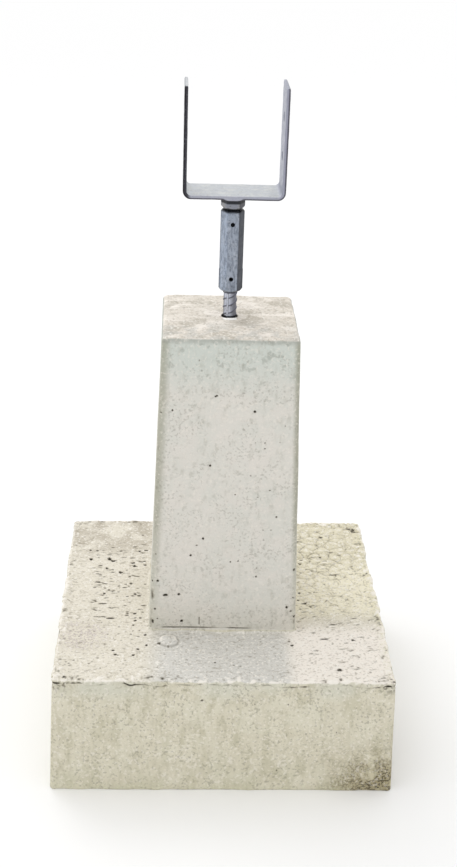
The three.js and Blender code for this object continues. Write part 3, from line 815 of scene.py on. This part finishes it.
def concrete_material():
    material, tree, coordinates = start_material("cast_concrete")
    x, y, z = (add(tree, "SeparateXYZ", {"Vector": coordinates["plain"]}, axis) for axis in "XYZ")
    side, depth = (add(tree, "Math", {0: value}, operation="ABSOLUTE") for value in (x, y))
    leftward = add(tree, "Math", {0: x, 1: -1.0}, operation="MULTIPLY")
    reaches = []  # how far out to the left and right arrises, with the taper added back
    for sideways in (leftward, x):
        corner = add(tree, "Math", {0: sideways, 1: depth}, operation="MINIMUM")
        reaches.append(add(tree, "Math", {0: z, 1: COLUMN_TAPER, 2: corner}, operation="MULTIPLY_ADD"))
    facing_up = add(tree, "SeparateXYZ", {"Vector": add(tree, "NewGeometry", {}, "Normal")}, "Z")
    # Painted shade and highlights from the mesh, with some real dirt.
    shade_and_dirt = add(tree, "Attribute", {}, "Fac", attribute_name="shade_and_dirt")
    flat_place = add(tree, "CombineXYZ", {"X": x, "Y": y})
    from_bar = add(tree, "VectorMath", {0: flat_place}, "Value", operation="LENGTH")
    apart = {0: coordinates["plain"], 1: BLOTCH_PLACE}
    from_blotch = add(tree, "VectorMath", apart, "Value", operation="DISTANCE")
    zones = {
        "faces_up": (facing_up, 0.45, 0.8), "on_column": (z, 0.149, 0.153), "on_head": (z, 0.3, 0.31),
        "below_rim": (z, 0.151, 0.149), "upper_column": (z, 0.44, 0.5), "over_foot": (z, 0.18, 0.32),
        "shade_at_column_foot": (z, 0.2, 0.153), "upper_slab": (z, 0.118, 0.137), "lower_slab": (z, 0.05, 0.0),
        "slab_foot": (z, 0.012, 0.002),
        "left_arris_shade": (reaches[0], ARRIS_REACH - 0.013, ARRIS_REACH - 0.002),
        "right_arris_shade": (reaches[1], ARRIS_REACH - 0.009, ARRIS_REACH - 0.001),
        "column_shadow_front": (y, -0.07, -0.1), "middle": (side, 0.1, 0.066), "right_part": (x, 0.066, 0.09),
        "left_part": (x, -0.07, -0.1), "right_back": (y, -0.07, -0.02), "lit_half_way_back": (y, 0.11, 0.03),
        "right_front": (y, -0.05, -0.1), "stain_right": (x, 0.1, 0.185), "stain_low": (z, 0.08, 0.01),
        "stain_front": (y, 0.05, -0.12), "right_rim": (x, 0.183, 0.192),
        "left_blotch": (from_blotch, 0.045, 0.015), "back_strip": (y, 0.07, 0.15),
        "shaded_and_dirty": (shade_and_dirt, 0.12, 0.95), "deep_shade_and_dirt": (shade_and_dirt, 0.7, 1.15),
        "white_lip_highlight": (from_bar, 0.0155, 0.0135), "lip_front": (y, -0.005, -0.008),
        "lip_width": (side, 0.0088, 0.0072), "head_front": (y, -0.015, -0.05),
        "head_edge_shade": (z, 0.508, 0.515), "on_slab": (z, 0.31, 0.3), "paste_and_highlight": (shade_and_dirt, -0.15, -0.8),
    }
    patterns = {
        "cloud": ("plain", 60, 3, 0.4, 0.62), "patch": ("plain", 19, 3, 0.42, 0.62),
        "mottle": ("plain", 7, 3, 0.42, 0.66), "smear": ("upright", 6, 3, 0.42, 0.7),
        "drawn": ("sideways", 5, 3, 0.45, 0.68), "grains": ("plain", 3, 3, 0.54, 0.66),
        "voids": ("sideways", 3.6, 2, 0.6, 0.7), "flecks": ("plain", 3.4, 3, 0.53, 0.66),
        "soil": ("plain", 3.4, 3, 0.48, 0.6), "big_soil": ("plain", 26, 3, 0.36, 0.6),
        "stain_field": ("plain", 18, 3, 0.34, 0.52), "spots": ("plain", 9, 2, 0.56, 0.68),
        "field": ("plain", 40, 2, 0.42, 0.56), "blotches": ("plain", 30, 3, 0.52, 0.62),
        "streaks": ("upright", 15, 3, 0.52, 0.64), "swipes": ("sideways", 14, 3, 0.5, 0.62),
        "specks": ("plain", 2.4, 3, 0.48, 0.58),
    }
    masks = make_masks(tree, coordinates, zones, patterns)
    masks["on_side"] = add(tree, "Math", {0: 1.0, 1: masks["faces_up"]}, operation="SUBTRACT")

    formed = lay_coats(tree, linear("#dad7cf"), masks, [
        ("#d0d1c9", 0.4, "cloud"),
        ("#dfd9d1", 0.45, "patch"),
        ("#c6cec7", 0.7, "upper_column"),
        ("#90958b", 0.5, "upper_column", "spots"),
        # Painted shade on the rounded arrises, greenish grey, darker in their upper part.
        ("#b9b9a9", 0.5, "left_arris_shade", "on_column"),
        ("#8f8f7c", 0.5, "left_arris_shade", "over_foot"),
        ("#b0b09f", 0.6, "right_arris_shade", "on_column"),
        ("#8f8f7c", 0.6, "right_arris_shade", "over_foot"),
        # Painted shade low on the column, where it meets the slab.
        ("#c9c6b8", 0.3, "shade_at_column_foot", "on_column"),
        ("#aaa89b", 0.4, "mottle", "smear"),
        ("#d4ceb9", 0.95, "below_rim"),
        ("#bdb8a2", 0.55, "below_rim", "smear"),
        ("#dcd7c4", 0.5, "below_rim", "patch"),
        ("#dad6c3", 0.5, "below_rim", "blotches"),
        ("#b3ae92", 0.35, "below_rim", "streaks"),
        ("#cfcfc1", 0.6, "upper_slab", "below_rim", "cloud"),
        ("#8f8b70", 0.26, "below_rim", "grains"),
        ("#efebdd", 0.2, "below_rim", "flecks"),
        ("#b9b79b", 0.4, "lower_slab", "big_soil"),
        ("#c4c49c", 0.5, "slab_foot", "soil"),
    ])
    trowelled = lay_coats(tree, linear("#dbd5c6"), masks, [
        ("#ccc6b4", 0.6, "patch"),
        ("#e8e2d5", 0.5, "left_part"),
        ("#a89e8c", 0.6, "back_strip", "left_part", "big_soil"),
        ("#a08f8c", 0.8, "left_blotch", "soil"),
        # Painted shadow of the column on the slab's top, in front of it.
        ("#d4d3cf", 0.8, "middle", "column_shadow_front"),
        ("#ddd6bc", 0.85, "right_part", "right_back"),
        # Painted light, lifting the lamp's shadow of the column off the middle of the right part.
        ("#f6f0da", 0.6, "right_part", "right_back", "lit_half_way_back"),
        ("#f5eee5", 0.85, "right_part", "right_front"),
        ("#e3dbd0", 0.85, "on_head"),
        ("#faf3ea", 0.7, "on_head", "swipes"),
        ("#b7b0a2", 0.3, "on_head", "drawn"),
        ("#b3ac9d", 0.55, "on_head", "blotches"),
        ("#bfbeb8", 0.6, "on_head", "head_front", "patch"),
        ("#c9c596", 0.55, "right_rim", "soil"),
        ("#f6f2ea", 0.7, "flecks"),
        ("#968c78", 0.4, "grains"),
        ("#7b715d", 0.5, "voids", "field", "on_slab"),
    ])
    colour = add(tree, "Mix", {0: masks["faces_up"], 6: formed, 7: trowelled}, 2, data_type="RGBA")
    colour = lay_coats(tree, colour, masks, [
        ("#b9ae88", 0.5, "stain_right", "stain_low", "stain_front", "on_side"),
        ("#7f7146", 0.6, "stain_right", "stain_low", "stain_front", "stain_field", "on_side"),
        ("#2f2612", 0.8, "stain_right", "stain_low", "stain_front", "stain_field", "specks", "on_side"),
        # Painted shade below the column head's rounded edge.
        ("#a3a59d", 0.7, "head_edge_shade", "on_side"),
        ("#ece6dc", 0.35, "flecks", "on_side"),
        ("#8b877a", 0.34, "grains", "field", "on_side"),
        # Light paste and painted highlights, then painted shade with some real dirt, as the mesh's number
        # gives them.
        ("#f4efe6", 0.85, "paste_and_highlight"),
        ("#6a6353", 0.85, "shaded_and_dirty"),
        ("#2b261d", 0.9, "deep_shade_and_dirt"),
        # White paste, with a painted highlight on the lip's front.
        ("#fdfcf8", 1.0, "white_lip_highlight", "lip_front", "lip_width", "faces_up"),
    ])
    relief = add(tree, "Math", {0: masks["grains"], 1: masks["voids"]}, operation="ADD")
    relief = add(tree, "Math", {0: masks["flecks"], 1: relief}, operation="SUBTRACT")
    bump = add(tree, "Bump", {"Height": relief, "Distance": GRAIN_RELIEF_MM * MM, "Strength": 0.5})
    finish_material(tree, {"Base Color": colour, "Roughness": 0.9, "IOR": 1.5, "Normal": bump})
    return material


cast_concrete = concrete_material()
casting.data.materials.append(cast_concrete)
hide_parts("concrete_block")
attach(casting, "footing")
print(f"{cast_concrete.name}: {len(cast_concrete.node_tree.nodes)} nodes")

# %% [markdown]
# ## Hot-dip galvanised steel
# The nuts and the strip were dipped in molten zinc. It is a metal with a dull, slightly blue face: faint
# spangle a few millimetres across, soft upright runs, and a grey bloom where it has weathered. Grease and
# shade make the threads nearly black, and that shade is painted into the colour. Light and shade are painted
# on the zinc too: lighter left flats and a highlight on the sleeve, dark right flats and side edges, shade
# in the gaps under the strip and the sleeve and at the bar's foot, and darker outer faces and front edge
# on the strip.

# %% Zinc material
ZINC_RELIEF_MM = 0.08


def zinc_material(name, ground, roughness, zones, coats, spangle_mm=3.0):
    """Galvanised steel: a ground colour with soft runs and spangle, and coats of its own."""
    material, tree, coordinates = start_material(name)
    plain = {"Vector": coordinates["plain"]}
    values = {axis.lower(): add(tree, "SeparateXYZ", plain, axis) for axis in "XYZ"}
    flat_place = add(tree, "CombineXYZ", {"X": values["x"], "Y": values["y"]})
    values["radius"] = add(tree, "VectorMath", {0: flat_place}, "Value", operation="LENGTH")
    values["shade_and_dirt"] = add(tree, "Attribute", {}, "Fac", attribute_name="shade_and_dirt")
    patterns = {
        "runs": ("upright", 2.4, 3, 0.42, 0.62), "bloom": ("plain", 9, 3, 0.4, 0.65),
        "grit": ("plain", 1.1, 2, 0.4, 0.7), "pits": ("plain", 2.4, 2, 0.58, 0.68),
    }
    zones = {zone: (values[source], low, high) for zone, (source, low, high) in zones.items()}
    masks = make_masks(tree, coordinates, zones, patterns)
    cells = add(tree, "TexVoronoi", {**plain, "Scale": 1 / (spangle_mm * MM)}, "Color")
    masks["spangle"] = add(tree, "SeparateColor", {"Color": cells})
    colour = lay_coats(tree, linear(ground), masks, coats)
    rough = {"Value": masks["bloom"], "To Min": roughness - 0.06, "To Max": roughness + 0.1}
    relief = add(tree, "Math", {0: masks["runs"], 1: masks["grit"]}, operation="ADD")
    bump = add(tree, "Bump", {"Height": relief, "Distance": ZINC_RELIEF_MM * MM, "Strength": 0.5})
    finish_material(tree, {
        "Base Color": colour, "Metallic": 0.85, "Roughness": add(tree, "MapRange", rough), "Normal": bump,
    })
    return material


# Near black: oil on the threads, and painted shade in the nuts' bores and where the bar enters the sleeve.
THREAD_GREASE_AND_SHADE = "#0e0e10"
INSIDE_THE_NUT = ("radius", 0.0102, 0.0092)
# The front right flats, turned from the light, are painted dark as shade.
SHADED_RIGHT_FLATS = ("x", 0.0062, 0.0075)
FRONT_HALF = ("y", 0.001, -0.002)
nut_zinc = zinc_material(
    "galvanised_sleeve_zinc", "#98a0ad", 0.42,
    {
        "inside": INSIDE_THE_NUT, "shaded_right_flats": SHADED_RIGHT_FLATS, "front": FRONT_HALF,
        "lit_left_flats": ("x", -0.0062, -0.0075), "left_highlight": ("x", -0.0045, -0.0065),
        "left_edge_shade": ("x", -0.0122, -0.0134), "right_edge_shade": ("x", 0.0118, 0.0132),
        "shade_at_top_end": ("z", 0.6395, 0.6425),
    },
    [
        # Painted highlight near the front flat's left corner, and the left flats painted lighter, as lit.
        ("#a9b6ca", 0.6, "left_highlight"),
        ("#9ba5b4", 0.5, "lit_left_flats"),
        ("#565c68", 0.5, "runs"),
        ("#d0d6e0", 0.35, "spangle", "bloom"),
        # Painted shade on the right flats.
        ("#33353c", 0.9, "shaded_right_flats", "front"),
        ("#3a3d45", 0.4, "pits"),
        # Painted shade at the side edges, where the flats turn away.
        ("#25262b", 0.85, "left_edge_shade", "front"),
        ("#1b1c20", 0.8, "right_edge_shade", "front"),
        # Painted shade in the gap at the top end, under the lock nut.
        ("#15161a", 0.9, "shade_at_top_end"),
        (THREAD_GREASE_AND_SHADE, 1.0, "inside"),
    ],
)
lock_nut_zinc = zinc_material(
    "galvanised_lock_nut_zinc", "#888b94", 0.45,
    {
        "inside": INSIDE_THE_NUT, "shaded_right_flats": SHADED_RIGHT_FLATS, "front": FRONT_HALF,
        "shade_under_strip": ("z", 0.6503, 0.6521),
    },
    [
        ("#b9b4ab", 0.4, "bloom"),
        # Painted shade on the right flats.
        ("#2f3036", 0.75, "shaded_right_flats", "front"),
        ("#4f4a44", 0.6, "pits"),
        # Painted shade under the strip.
        ("#17181b", 0.9, "shade_under_strip"),
        (THREAD_GREASE_AND_SHADE, 1.0, "inside"),
    ],
)
strip_zinc = zinc_material(
    "galvanised_strip_zinc", "#c2c6ca", 0.4,
    {
        "shaded_outer_face": ("shade_and_dirt", 0.35, 0.75), "shaded_outer_half": ("shade_and_dirt", 0.2, 0.6),
        "shaded_front_edge": ("y", -0.026, -0.0276), "near_front": ("y", -0.0215, -0.026),
        "left": ("x", -0.047, -0.052), "right": ("x", 0.047, 0.052),
    },
    [
        ("#dededa", 0.6, "bloom"),
        ("#a4a9b1", 0.35, "spangle"),
        # Painted shade from here on: the right cheek's inner face, the front edge, most on the left cheek's,
        # and the outer faces, most near the front.
        ("#8a8ea2", 0.75, "right"),
        ("#9d9eae", 0.75, "shaded_front_edge"),
        ("#353439", 0.95, "shaded_front_edge", "left"),
        ("#85888f", 0.5, "shaded_outer_face"),
        ("#3a3941", 0.85, "shaded_outer_face", "near_front"),
        ("#55545e", 0.8, "shaded_front_edge", "shaded_outer_half"),
        ("#1d1c20", 0.9, "shaded_front_edge", "shaded_outer_half", "left"),
        ("#8a8d94", 0.35, "pits"),
    ],
    spangle_mm=5.0,
)
bar_zinc = zinc_material(
    "galvanised_bar_zinc", "#c2c8d8", 0.42,
    {
        "low": ("shade_and_dirt", 0.3, 0.9), "front": ("y", 0.001, -0.001), "right": ("x", -0.002, 0.005),
        "left_edge_shade": ("x", -0.0058, -0.0072), "foot": ("z", 0.5199, 0.5186),
        "shadow_under_sleeve": ("z", 0.5455, 0.5485), "shaded_in_the_sleeve": ("z", 0.5485, 0.5497),
    },
    [
        ("#dde0ea", 0.4, "bloom"),
        # Painted shade on the ribs' flanks and up in the sleeve.
        ("#484954", 0.75, "low"),
        # Painted shade on the bar's right side.
        ("#50505b", 0.75, "right", "front"),
        ("#57565c", 0.5, "pits"),
        ("#4a4b55", 0.7, "left_edge_shade", "front"),
        # Painted shadow under the sleeve, and painted shade in the gap at the bar's foot.
        ("#2f3038", 0.8, "shadow_under_sleeve"),
        ("#141417", 0.95, "foot"),
        (THREAD_GREASE_AND_SHADE, 1.0, "shaded_in_the_sleeve"),
    ],
)
oiled_thread = zinc_material(
    "oiled_thread_zinc", "#4a4c51", 0.5, {},
    [("#2c2d30", 0.6, "runs"), ("#6a6d73", 0.3, "bloom")],
)
for finish in (nut_zinc, lock_nut_zinc, strip_zinc, bar_zinc, oiled_thread):
    print(f"{finish.name}: {len(finish.node_tree.nodes)} nodes")

# %% [markdown]
# ## Threads
# The stud and the hidden end of the bar have an M16 thread: 16 mm over the crests, 2 mm from crest to
# crest. A screw modifier would sweep a profile up a helix. Here each ring point simply takes its radius
# from its height less its share of a turn, which gives the same helix and keeps the rings closed.

# %% Threads
THREAD_PITCH = 2.0
THREAD_CREST = node_radius_mm("threaded_stud")
THREAD_DEPTH = 1.2
THREAD_RING_STEP = 0.22
AROUND = 72


def round_ring(z, radius_at):
    angles = np.arange(AROUND) / AROUND * 2 * math.pi
    return level_ring(angles, radius_at(angles, z), z)


def thread_radius(angles, z):
    turn = (z / THREAD_PITCH - angles / (2 * math.pi)) % 1
    flank = np.clip(np.abs(2 * turn - 1) * 1.35 - 0.2, 0, 1)
    return THREAD_CREST - THREAD_DEPTH * flank


def plain_radius(radius):
    return lambda angles, z: np.full(len(angles), radius)


def threaded_rings(bottom, top):
    """Rings of a right-hand thread with a small chamfer at both ends."""
    rings = [round_ring(bottom, plain_radius(THREAD_CREST - 1.4))]
    rings += [round_ring(z, thread_radius) for z in spaced(bottom + 1, top - 0.2, THREAD_RING_STEP)]
    rings.append(round_ring(top, plain_radius(THREAD_CREST - 0.6)))
    return rings


stud_low, stud_high = node_box_mm("threaded_stud")
stud_mesh = ring_mesh("threaded_stud_rod", threaded_rings(stud_low[2], stud_high[2]))
soften(stud_mesh, 60)
stud = place(stud_mesh)
stud_mesh.materials.append(oiled_thread)
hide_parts("threaded_stud")
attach(stud, "post_shoe")
stud_length = stud_high[2] - stud_low[2]
print(f"stud: {stud_length:.1f} mm, {stud_length / THREAD_PITCH:.0f} turns of thread")

# %% [markdown]
# ## The ribbed bar
# Reinforcing bar is rolled hot between grooved rolls. That leaves two seams along it and crescent ribs that
# climb from seam to seam, 9 mm apart. Its radius is again a function of angle and height. How near a point
# is to a rib's flank is kept as a number, and the zinc is painted darker there as shade, and darkest where
# the bar goes into the sleeve.

# %% Ribbed bar
BAR_CORE_RADIUS = 7.4
BAR_RIB_HEIGHT = BAR_RADIUS - BAR_CORE_RADIUS
BAR_RIB_WIDTH, BAR_RIB_SPACING, BAR_RIB_LEAD, BAR_SEAM_WIDTH = 2.2, 9, 10, 2.6
BAR_RING_STEP = 0.35
SEAM_TURN = math.radians(67)  # one seam faces the front, a little to the left
bar_low, bar_high = node_box_mm("anchor_bar")
sleeve_low, sleeve_high = node_box_mm("sleeve_nut")


def rib_share(angles, z):
    """How much of a rib or seam there is, from 0 on the core to 1 on a crest."""
    half = ((angles - SEAM_TURN) % math.pi) / math.pi
    to_seam = np.minimum(half, 1 - half) * math.pi * BAR_CORE_RADIUS
    seam = 1 - rise(to_seam, 0.6, BAR_SEAM_WIDTH / 2 + 0.3)
    along = (z - half * BAR_RIB_LEAD) % BAR_RIB_SPACING
    crest = 1 - rise(np.minimum(along, BAR_RIB_SPACING - along), 0.4, BAR_RIB_WIDTH / 2 + 0.3)
    return np.maximum(seam, crest * np.sin(math.pi * half) ** 0.7)


def rib_radius(angles, z):
    return BAR_CORE_RADIUS + BAR_RIB_HEIGHT * rib_share(angles, z)


bar_rings = [round_ring(z, plain_radius(BAR_RADIUS - 0.2)) for z in (bar_low[2], COLUMN_TOP - 12)]
bar_rings += [round_ring(z, rib_radius) for z in spaced(COLUMN_TOP - 8, sleeve_low[2] - 0.5, BAR_RING_STEP)]
bar_rings += threaded_rings(sleeve_low[2], bar_high[2])
bar_mesh = ring_mesh("ribbed_anchor_bar", bar_rings)
points = positions(bar_mesh)
share = rib_share(np.arctan2(points[:, 1], points[:, 0]), points[:, 2])
# Painted shade: most on the ribs' flanks, and full from 3 mm under the sleeve up.
keep_on_points(bar_mesh, "shade_and_dirt", np.where(points[:, 2] < sleeve_low[2] - 3, 4 * share * (1 - share), 1))
soften(bar_mesh, 60)
bar = place(bar_mesh)
bar_mesh.materials.append(bar_zinc)
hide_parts("anchor_bar")
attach(bar, "footing")
print(f"bar: {bar_high[2] - bar_low[2]:.0f} mm long, {sleeve_low[2] - COLUMN_TOP:.0f} mm of it in sight")

# %% [markdown]
# ## Nuts
# A nut could be a bevelled six-sided cylinder with a hole cut by a boolean. Rings do it in one go: the
# radius is the distance to the nearest flat, limited by the cone that turns off the corners at each end,
# and the skin goes on down the bore. Only the inspection holes are cut with a boolean.

# %% Hexagon nuts
NUT_AROUND = 180
EDGE_SOFTNESS = 0.3
BORE_CHAMFER = 0.9
END_LEVELS = np.array([0, 0.25, 0.6, 1.0, 1.5, 2.0, 2.6, 3.2])  # from each end, where the skin turns


def hexagon_radius(angles, across_flats):
    """Distance from the middle to the hexagon's softened outline. A flat faces the front."""
    turned = (angles + math.pi / 2 + math.pi / 6) % (math.pi / 3) - math.pi / 6
    sharp = across_flats / 2 / np.cos(turned)
    corner = across_flats / 2 / math.cos(math.pi / 6)
    return sharp - EDGE_SOFTNESS * rise(sharp, corner - 1.0, corner)


def nut_rings(bottom, top, across_flats, chamfer, steps, swell=lambda z: 0.0):
    """Rings up the outside of a nut and back down its bore."""
    angles = np.arange(NUT_AROUND) / NUT_AROUND * 2 * math.pi
    bore = THREAD_CREST + 0.3
    hexagon = hexagon_radius(angles, across_flats)
    middle = np.linspace(bottom + 4, top - 4, steps)
    levels = [*(bottom + END_LEVELS), *middle, *(top - END_LEVELS[::-1])]
    rings = []
    for z in levels:
        from_end = min(z - bottom, top - z)
        turned_off = across_flats / 2 - chamfer + 0.9 * from_end + 0.35 * math.sqrt(max(from_end, 0))
        rings.append(level_ring(angles, np.minimum(hexagon + swell(z), turned_off), z))
    wide = bore + BORE_CHAMFER
    down_the_bore = [(wide, top), (bore, top - BORE_CHAMFER), (bore, bottom + BORE_CHAMFER), (wide, bottom)]
    return rings + [level_ring(angles, radius, z) for radius, z in down_the_bore]


def drill(thing, start, end, radius):
    """Cuts a round hole through a thing from one point to another."""
    along = Vector(end) - Vector(start)
    turned = along.to_track_quat("Z", "Y").to_matrix().to_4x4()
    middle = Matrix.Translation((Vector(start) + Vector(end)) / 2 * MM)
    bm = bmesh.new()
    size = {"radius1": radius * MM, "radius2": radius * MM, "depth": along.length * MM}
    bmesh.ops.create_cone(bm, cap_ends=True, segments=32, matrix=middle @ turned, **size)
    cutter_mesh = bpy.data.meshes.new("cutter")
    bm.to_mesh(cutter_mesh)
    bm.free()
    cutter = place(cutter_mesh)
    cut = thing.modifiers.new("cut", "BOOLEAN")
    cut.object, cut.solver = cutter, "EXACT"
    apply_modifiers(thing)
    bpy.data.objects.remove(cutter)


INSPECTION_HOLE_RADIUS, INSPECTION_HOLE_INSET = 2.5, 15.5
LOWER_PART, SLEEVE_SWELL = 25, 0.3  # the lowest part of the sleeve is a hair wider


def sleeve_swell(z):
    end = sleeve_low[2] + LOWER_PART
    return SLEEVE_SWELL * (1 - rise(np.array(z), end - 0.6, end))


sleeve_flats = sleeve_high[1] - sleeve_low[1]
sleeve_skin = nut_rings(sleeve_low[2], sleeve_high[2], sleeve_flats - SLEEVE_SWELL, 0.8, 90, sleeve_swell)
sleeve = place(ring_mesh("hexagon_sleeve_nut", sleeve_skin, closed=True))
for z in (sleeve_low[2] + INSPECTION_HOLE_INSET, sleeve_high[2] - INSPECTION_HOLE_INSET):
    drill(sleeve, (0, -sleeve_flats, z), (0, 0, z), INSPECTION_HOLE_RADIUS)
sleeve.data.materials.append(nut_zinc)
soften(sleeve.data, 30)
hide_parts("sleeve_nut")
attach(sleeve, "footing")

nut_low, nut_high = node_box_mm("lock_nut")
nut_skin = nut_rings(nut_low[2], nut_high[2], nut_high[1] - nut_low[1], 1.1, 14)
lock_nut = place(ring_mesh("hexagon_lock_nut", nut_skin, closed=True))
lock_nut.data.materials.append(lock_nut_zinc)
soften(lock_nut.data, 30)
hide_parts("lock_nut")
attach(lock_nut, "lock_nut_body")
print(f"nuts: {sleeve_flats:.0f} mm across flats, {len(lock_nut.data.polygons)} faces on the lock nut")

# %% [markdown]
# ## The bracket
# One length of flat strip, bent to a U over a former. A bevelled box model would do, but sweeping the
# strip's rounded section along the U keeps its thickness true round the bends. The strip's edges are
# softened by the zinc, and a bead of zinc has gathered on its front edge over the nut.

# %% Bracket of bent strip
BEND_RADIUS, STRIP_THICKNESS = 9.0, 4.0
INNER_EDGE, OUTER_EDGE = 0.7, 1.3  # how far the strip's edges are rounded
SCREW_HOLE_RADIUS, SCREW_HOLE_HEIGHTS = 5.5, (40, 83)
PATH_STEP, BEND_STEP = 1.6, 0.1  # along the straights in mm, and round the bends in radians
BEAD_REACH, BEAD_FORWARD, BEAD_DOWN = 8.5, 1.3, 0.8
bracket_low, bracket_high = node_box_mm("post_bracket")
BRACKET_HALF = bracket_high[0]
STRIP_HALF = bracket_high[1]


def strip_section():
    """The strip's cross-section: y across its width, and depth from 0 at its outer face."""
    corners = [
        (1, STRIP_THICKNESS - INNER_EDGE, INNER_EDGE, 0), (-1, STRIP_THICKNESS - INNER_EDGE, INNER_EDGE, 90),
        (-1, OUTER_EDGE, OUTER_EDGE, 180), (1, OUTER_EDGE, OUTER_EDGE, 270),
    ]
    points = []
    for side, depth, radius, start in corners:
        middle = side * (STRIP_HALF - radius)
        for angle in np.radians(np.linspace(start, start + 90, 6)):
            points.append((middle + radius * math.cos(angle), depth + radius * math.sin(angle)))
        if start in (0, 180):
            reach = STRIP_HALF - max(INNER_EDGE, OUTER_EDGE) - 1
            face = STRIP_THICKNESS if start == 0 else 0
            points += [(side * y, face) for y in np.linspace(reach, -reach, 34)]
    return np.array(points)


def strip_path():
    """Points along the U's outer face with the direction into the strip, from cheek top to cheek top."""
    bend_x, bend_z, top = BRACKET_HALF - BEND_RADIUS, bracket_low[2] + BEND_RADIUS, bracket_high[2]

    def bend(middle_x, start, end):
        points = []
        for angle in spaced(start, end, BEND_STEP):
            across, down = math.cos(angle), math.sin(angle)
            place_on_bend = (middle_x + BEND_RADIUS * across, bend_z + BEND_RADIUS * down)
            points.append((*place_on_bend, -across, -down))
        return points

    path = [(-BRACKET_HALF, z, 1, 0) for z in spaced(top, bend_z, PATH_STEP)]
    path += bend(-bend_x, math.pi, 1.5 * math.pi)
    path += [(x, bracket_low[2], 0, 1) for x in spaced(-bend_x, bend_x, PATH_STEP)]
    path += bend(bend_x, 1.5 * math.pi, 2 * math.pi)
    path += [(BRACKET_HALF, z, -1, 0) for z in [*spaced(bend_z, top, PATH_STEP), top]]
    return path


def bracket_rings():
    section, path = strip_section(), strip_path()
    rings = []
    for i, (x, z, in_x, in_z) in enumerate(path):
        points = section.copy()
        if i in (0, len(path) - 1):  # the sawn ends are softened too
            points[:, 0] *= (STRIP_HALF - 0.5) / STRIP_HALF
            points[:, 1] = STRIP_THICKNESS / 2 + (points[:, 1] - STRIP_THICKNESS / 2) * 0.72
        rings.append(np.column_stack([x + in_x * points[:, 1], points[:, 0], z + in_z * points[:, 1]]))
    return rings


def depth_in_strip(points):
    """How far points lie inside the U's outer face, in millimetres."""
    bend_x, bend_z = BRACKET_HALF - BEND_RADIUS, bracket_low[2] + BEND_RADIUS
    x, z = np.abs(points[:, 0]), points[:, 2]
    in_bend = (x > bend_x) & (z < bend_z)
    straight = np.minimum(BRACKET_HALF - x, z - bracket_low[2])
    return np.where(in_bend, BEND_RADIUS - np.hypot(x - bend_x, z - bend_z), straight)


bracket = place(ring_mesh("u_bracket", bracket_rings()))
for height_over_base in SCREW_HOLE_HEIGHTS:
    z = bracket_low[2] + STRIP_THICKNESS + height_over_base
    for side in (-1, 1):
        outside, inside = side * (BRACKET_HALF + 5), side * (BRACKET_HALF - 9)
        drill(bracket, (outside, 0, z), (inside, 0, z), SCREW_HOLE_RADIUS)
points = positions(bracket.data)
normals = point_normals(bracket.data)
# Painted shade on the strip's outer faces, kept as a number for the zinc.
strip_shade = 1 - np.clip(depth_in_strip(points) / 3, 0, 1)
x, y, z = points.T
on_front_edge = (y < -STRIP_HALF + 1.5) & (z < bracket_low[2] + STRIP_THICKNESS + 0.1)
bead = np.where(on_front_edge, np.exp(-(((x + 1) / BEAD_REACH) ** 4)), 0)
# The bead is left out of that shade, so it shows lighter.
strip_shade -= bead
points[:, 1] -= BEAD_FORWARD * bead
points[:, 2] -= BEAD_DOWN * bead * (z < bracket_low[2] + 2)
points += normals * (0.12 * layered_noise(points, 12, 3, 101))[:, None]
move_points(bracket.data, points)
keep_on_points(bracket.data, "shade_and_dirt", np.clip(strip_shade, 0, 1))
bracket.data.materials.append(strip_zinc)
soften(bracket.data, 35)
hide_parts("post_bracket")
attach(bracket, "post_shoe")
print(f"bracket: {2 * BRACKET_HALF:.0f} mm wide, {len(bracket.data.polygons)} faces")

# %% [markdown]
# ## Floor and light
# A plain pale floor runs past the frame. The light is soft and comes from all round, but most of it from
# above, behind and the left, as it falls under an open sky. One broad lamp there gives the relief its small
# shadows.

# %% Floor, lamp and sky
FLOOR_SIZE_MM = 60_000
SKY_BRIGHT_SIDE, SKY_DIM, SKY_BRIGHT = (-0.6, 0.35, 0.72), 0.86, 1.12
LAMP_PLACE_MM, LAMP_AIM_MM, LAMP_SIZE_MM, LAMP_POWER = (-1000, 1300, 2300), (0, 0, 250), 1300, 9


def build_floor():
    half = FLOOR_SIZE_MM / 2
    mesh = bpy.data.meshes.new("floor")
    corners = [(-half, -half, 0), (half, -half, 0), (half, half, 0), (-half, half, 0)]
    mesh.from_pydata([tuple(c * MM for c in corner) for corner in corners], [], [(0, 1, 2, 3)])
    material, tree, _ = start_material("pale_floor")
    finish_material(tree, {"Base Color": linear("#fbfbfb"), "Roughness": 0.95, "Specular IOR Level": 0.0})
    mesh.materials.append(material)
    place(mesh)


def build_sky():
    world = bpy.data.worlds.new("soft_sky")
    world.use_nodes = True
    tree = world.node_tree
    tree.nodes.clear()
    direction = add(tree, "TexCoord", {}, "Generated")
    towards = add(tree, "VectorMath", {0: direction, 1: SKY_BRIGHT_SIDE}, "Value", operation="DOT_PRODUCT")
    fade = {"Value": towards, "From Min": -0.3, "From Max": 0.9, "To Min": SKY_DIM, "To Max": SKY_BRIGHT}
    strength = add(tree, "MapRange", fade, interpolation_type="SMOOTHSTEP")
    background = add(tree, "Background", {"Color": linear("#ffffff"), "Strength": strength})
    add(tree, "OutputWorld", {"Surface": background})
    bpy.context.scene.world = world


def area_lamp(name, place_mm, aim_mm, size_mm, power):
    data = bpy.data.lights.new(name, "AREA")
    data.shape, data.size, data.energy = "DISK", size_mm * MM, power
    lamp = bpy.data.objects.new(name, data)
    lamp.location = Vector(place_mm) * MM
    lamp.rotation_mode = "QUATERNION"
    lamp.rotation_quaternion = (Vector(aim_mm) - Vector(place_mm)).to_track_quat("-Z", "Y")
    bpy.context.collection.objects.link(lamp)


build_floor()
build_sky()
area_lamp("key", LAMP_PLACE_MM, LAMP_AIM_MM, LAMP_SIZE_MM, LAMP_POWER)

# %% [markdown]
# The relief takes the visible one at most 0.7 mm past the other.
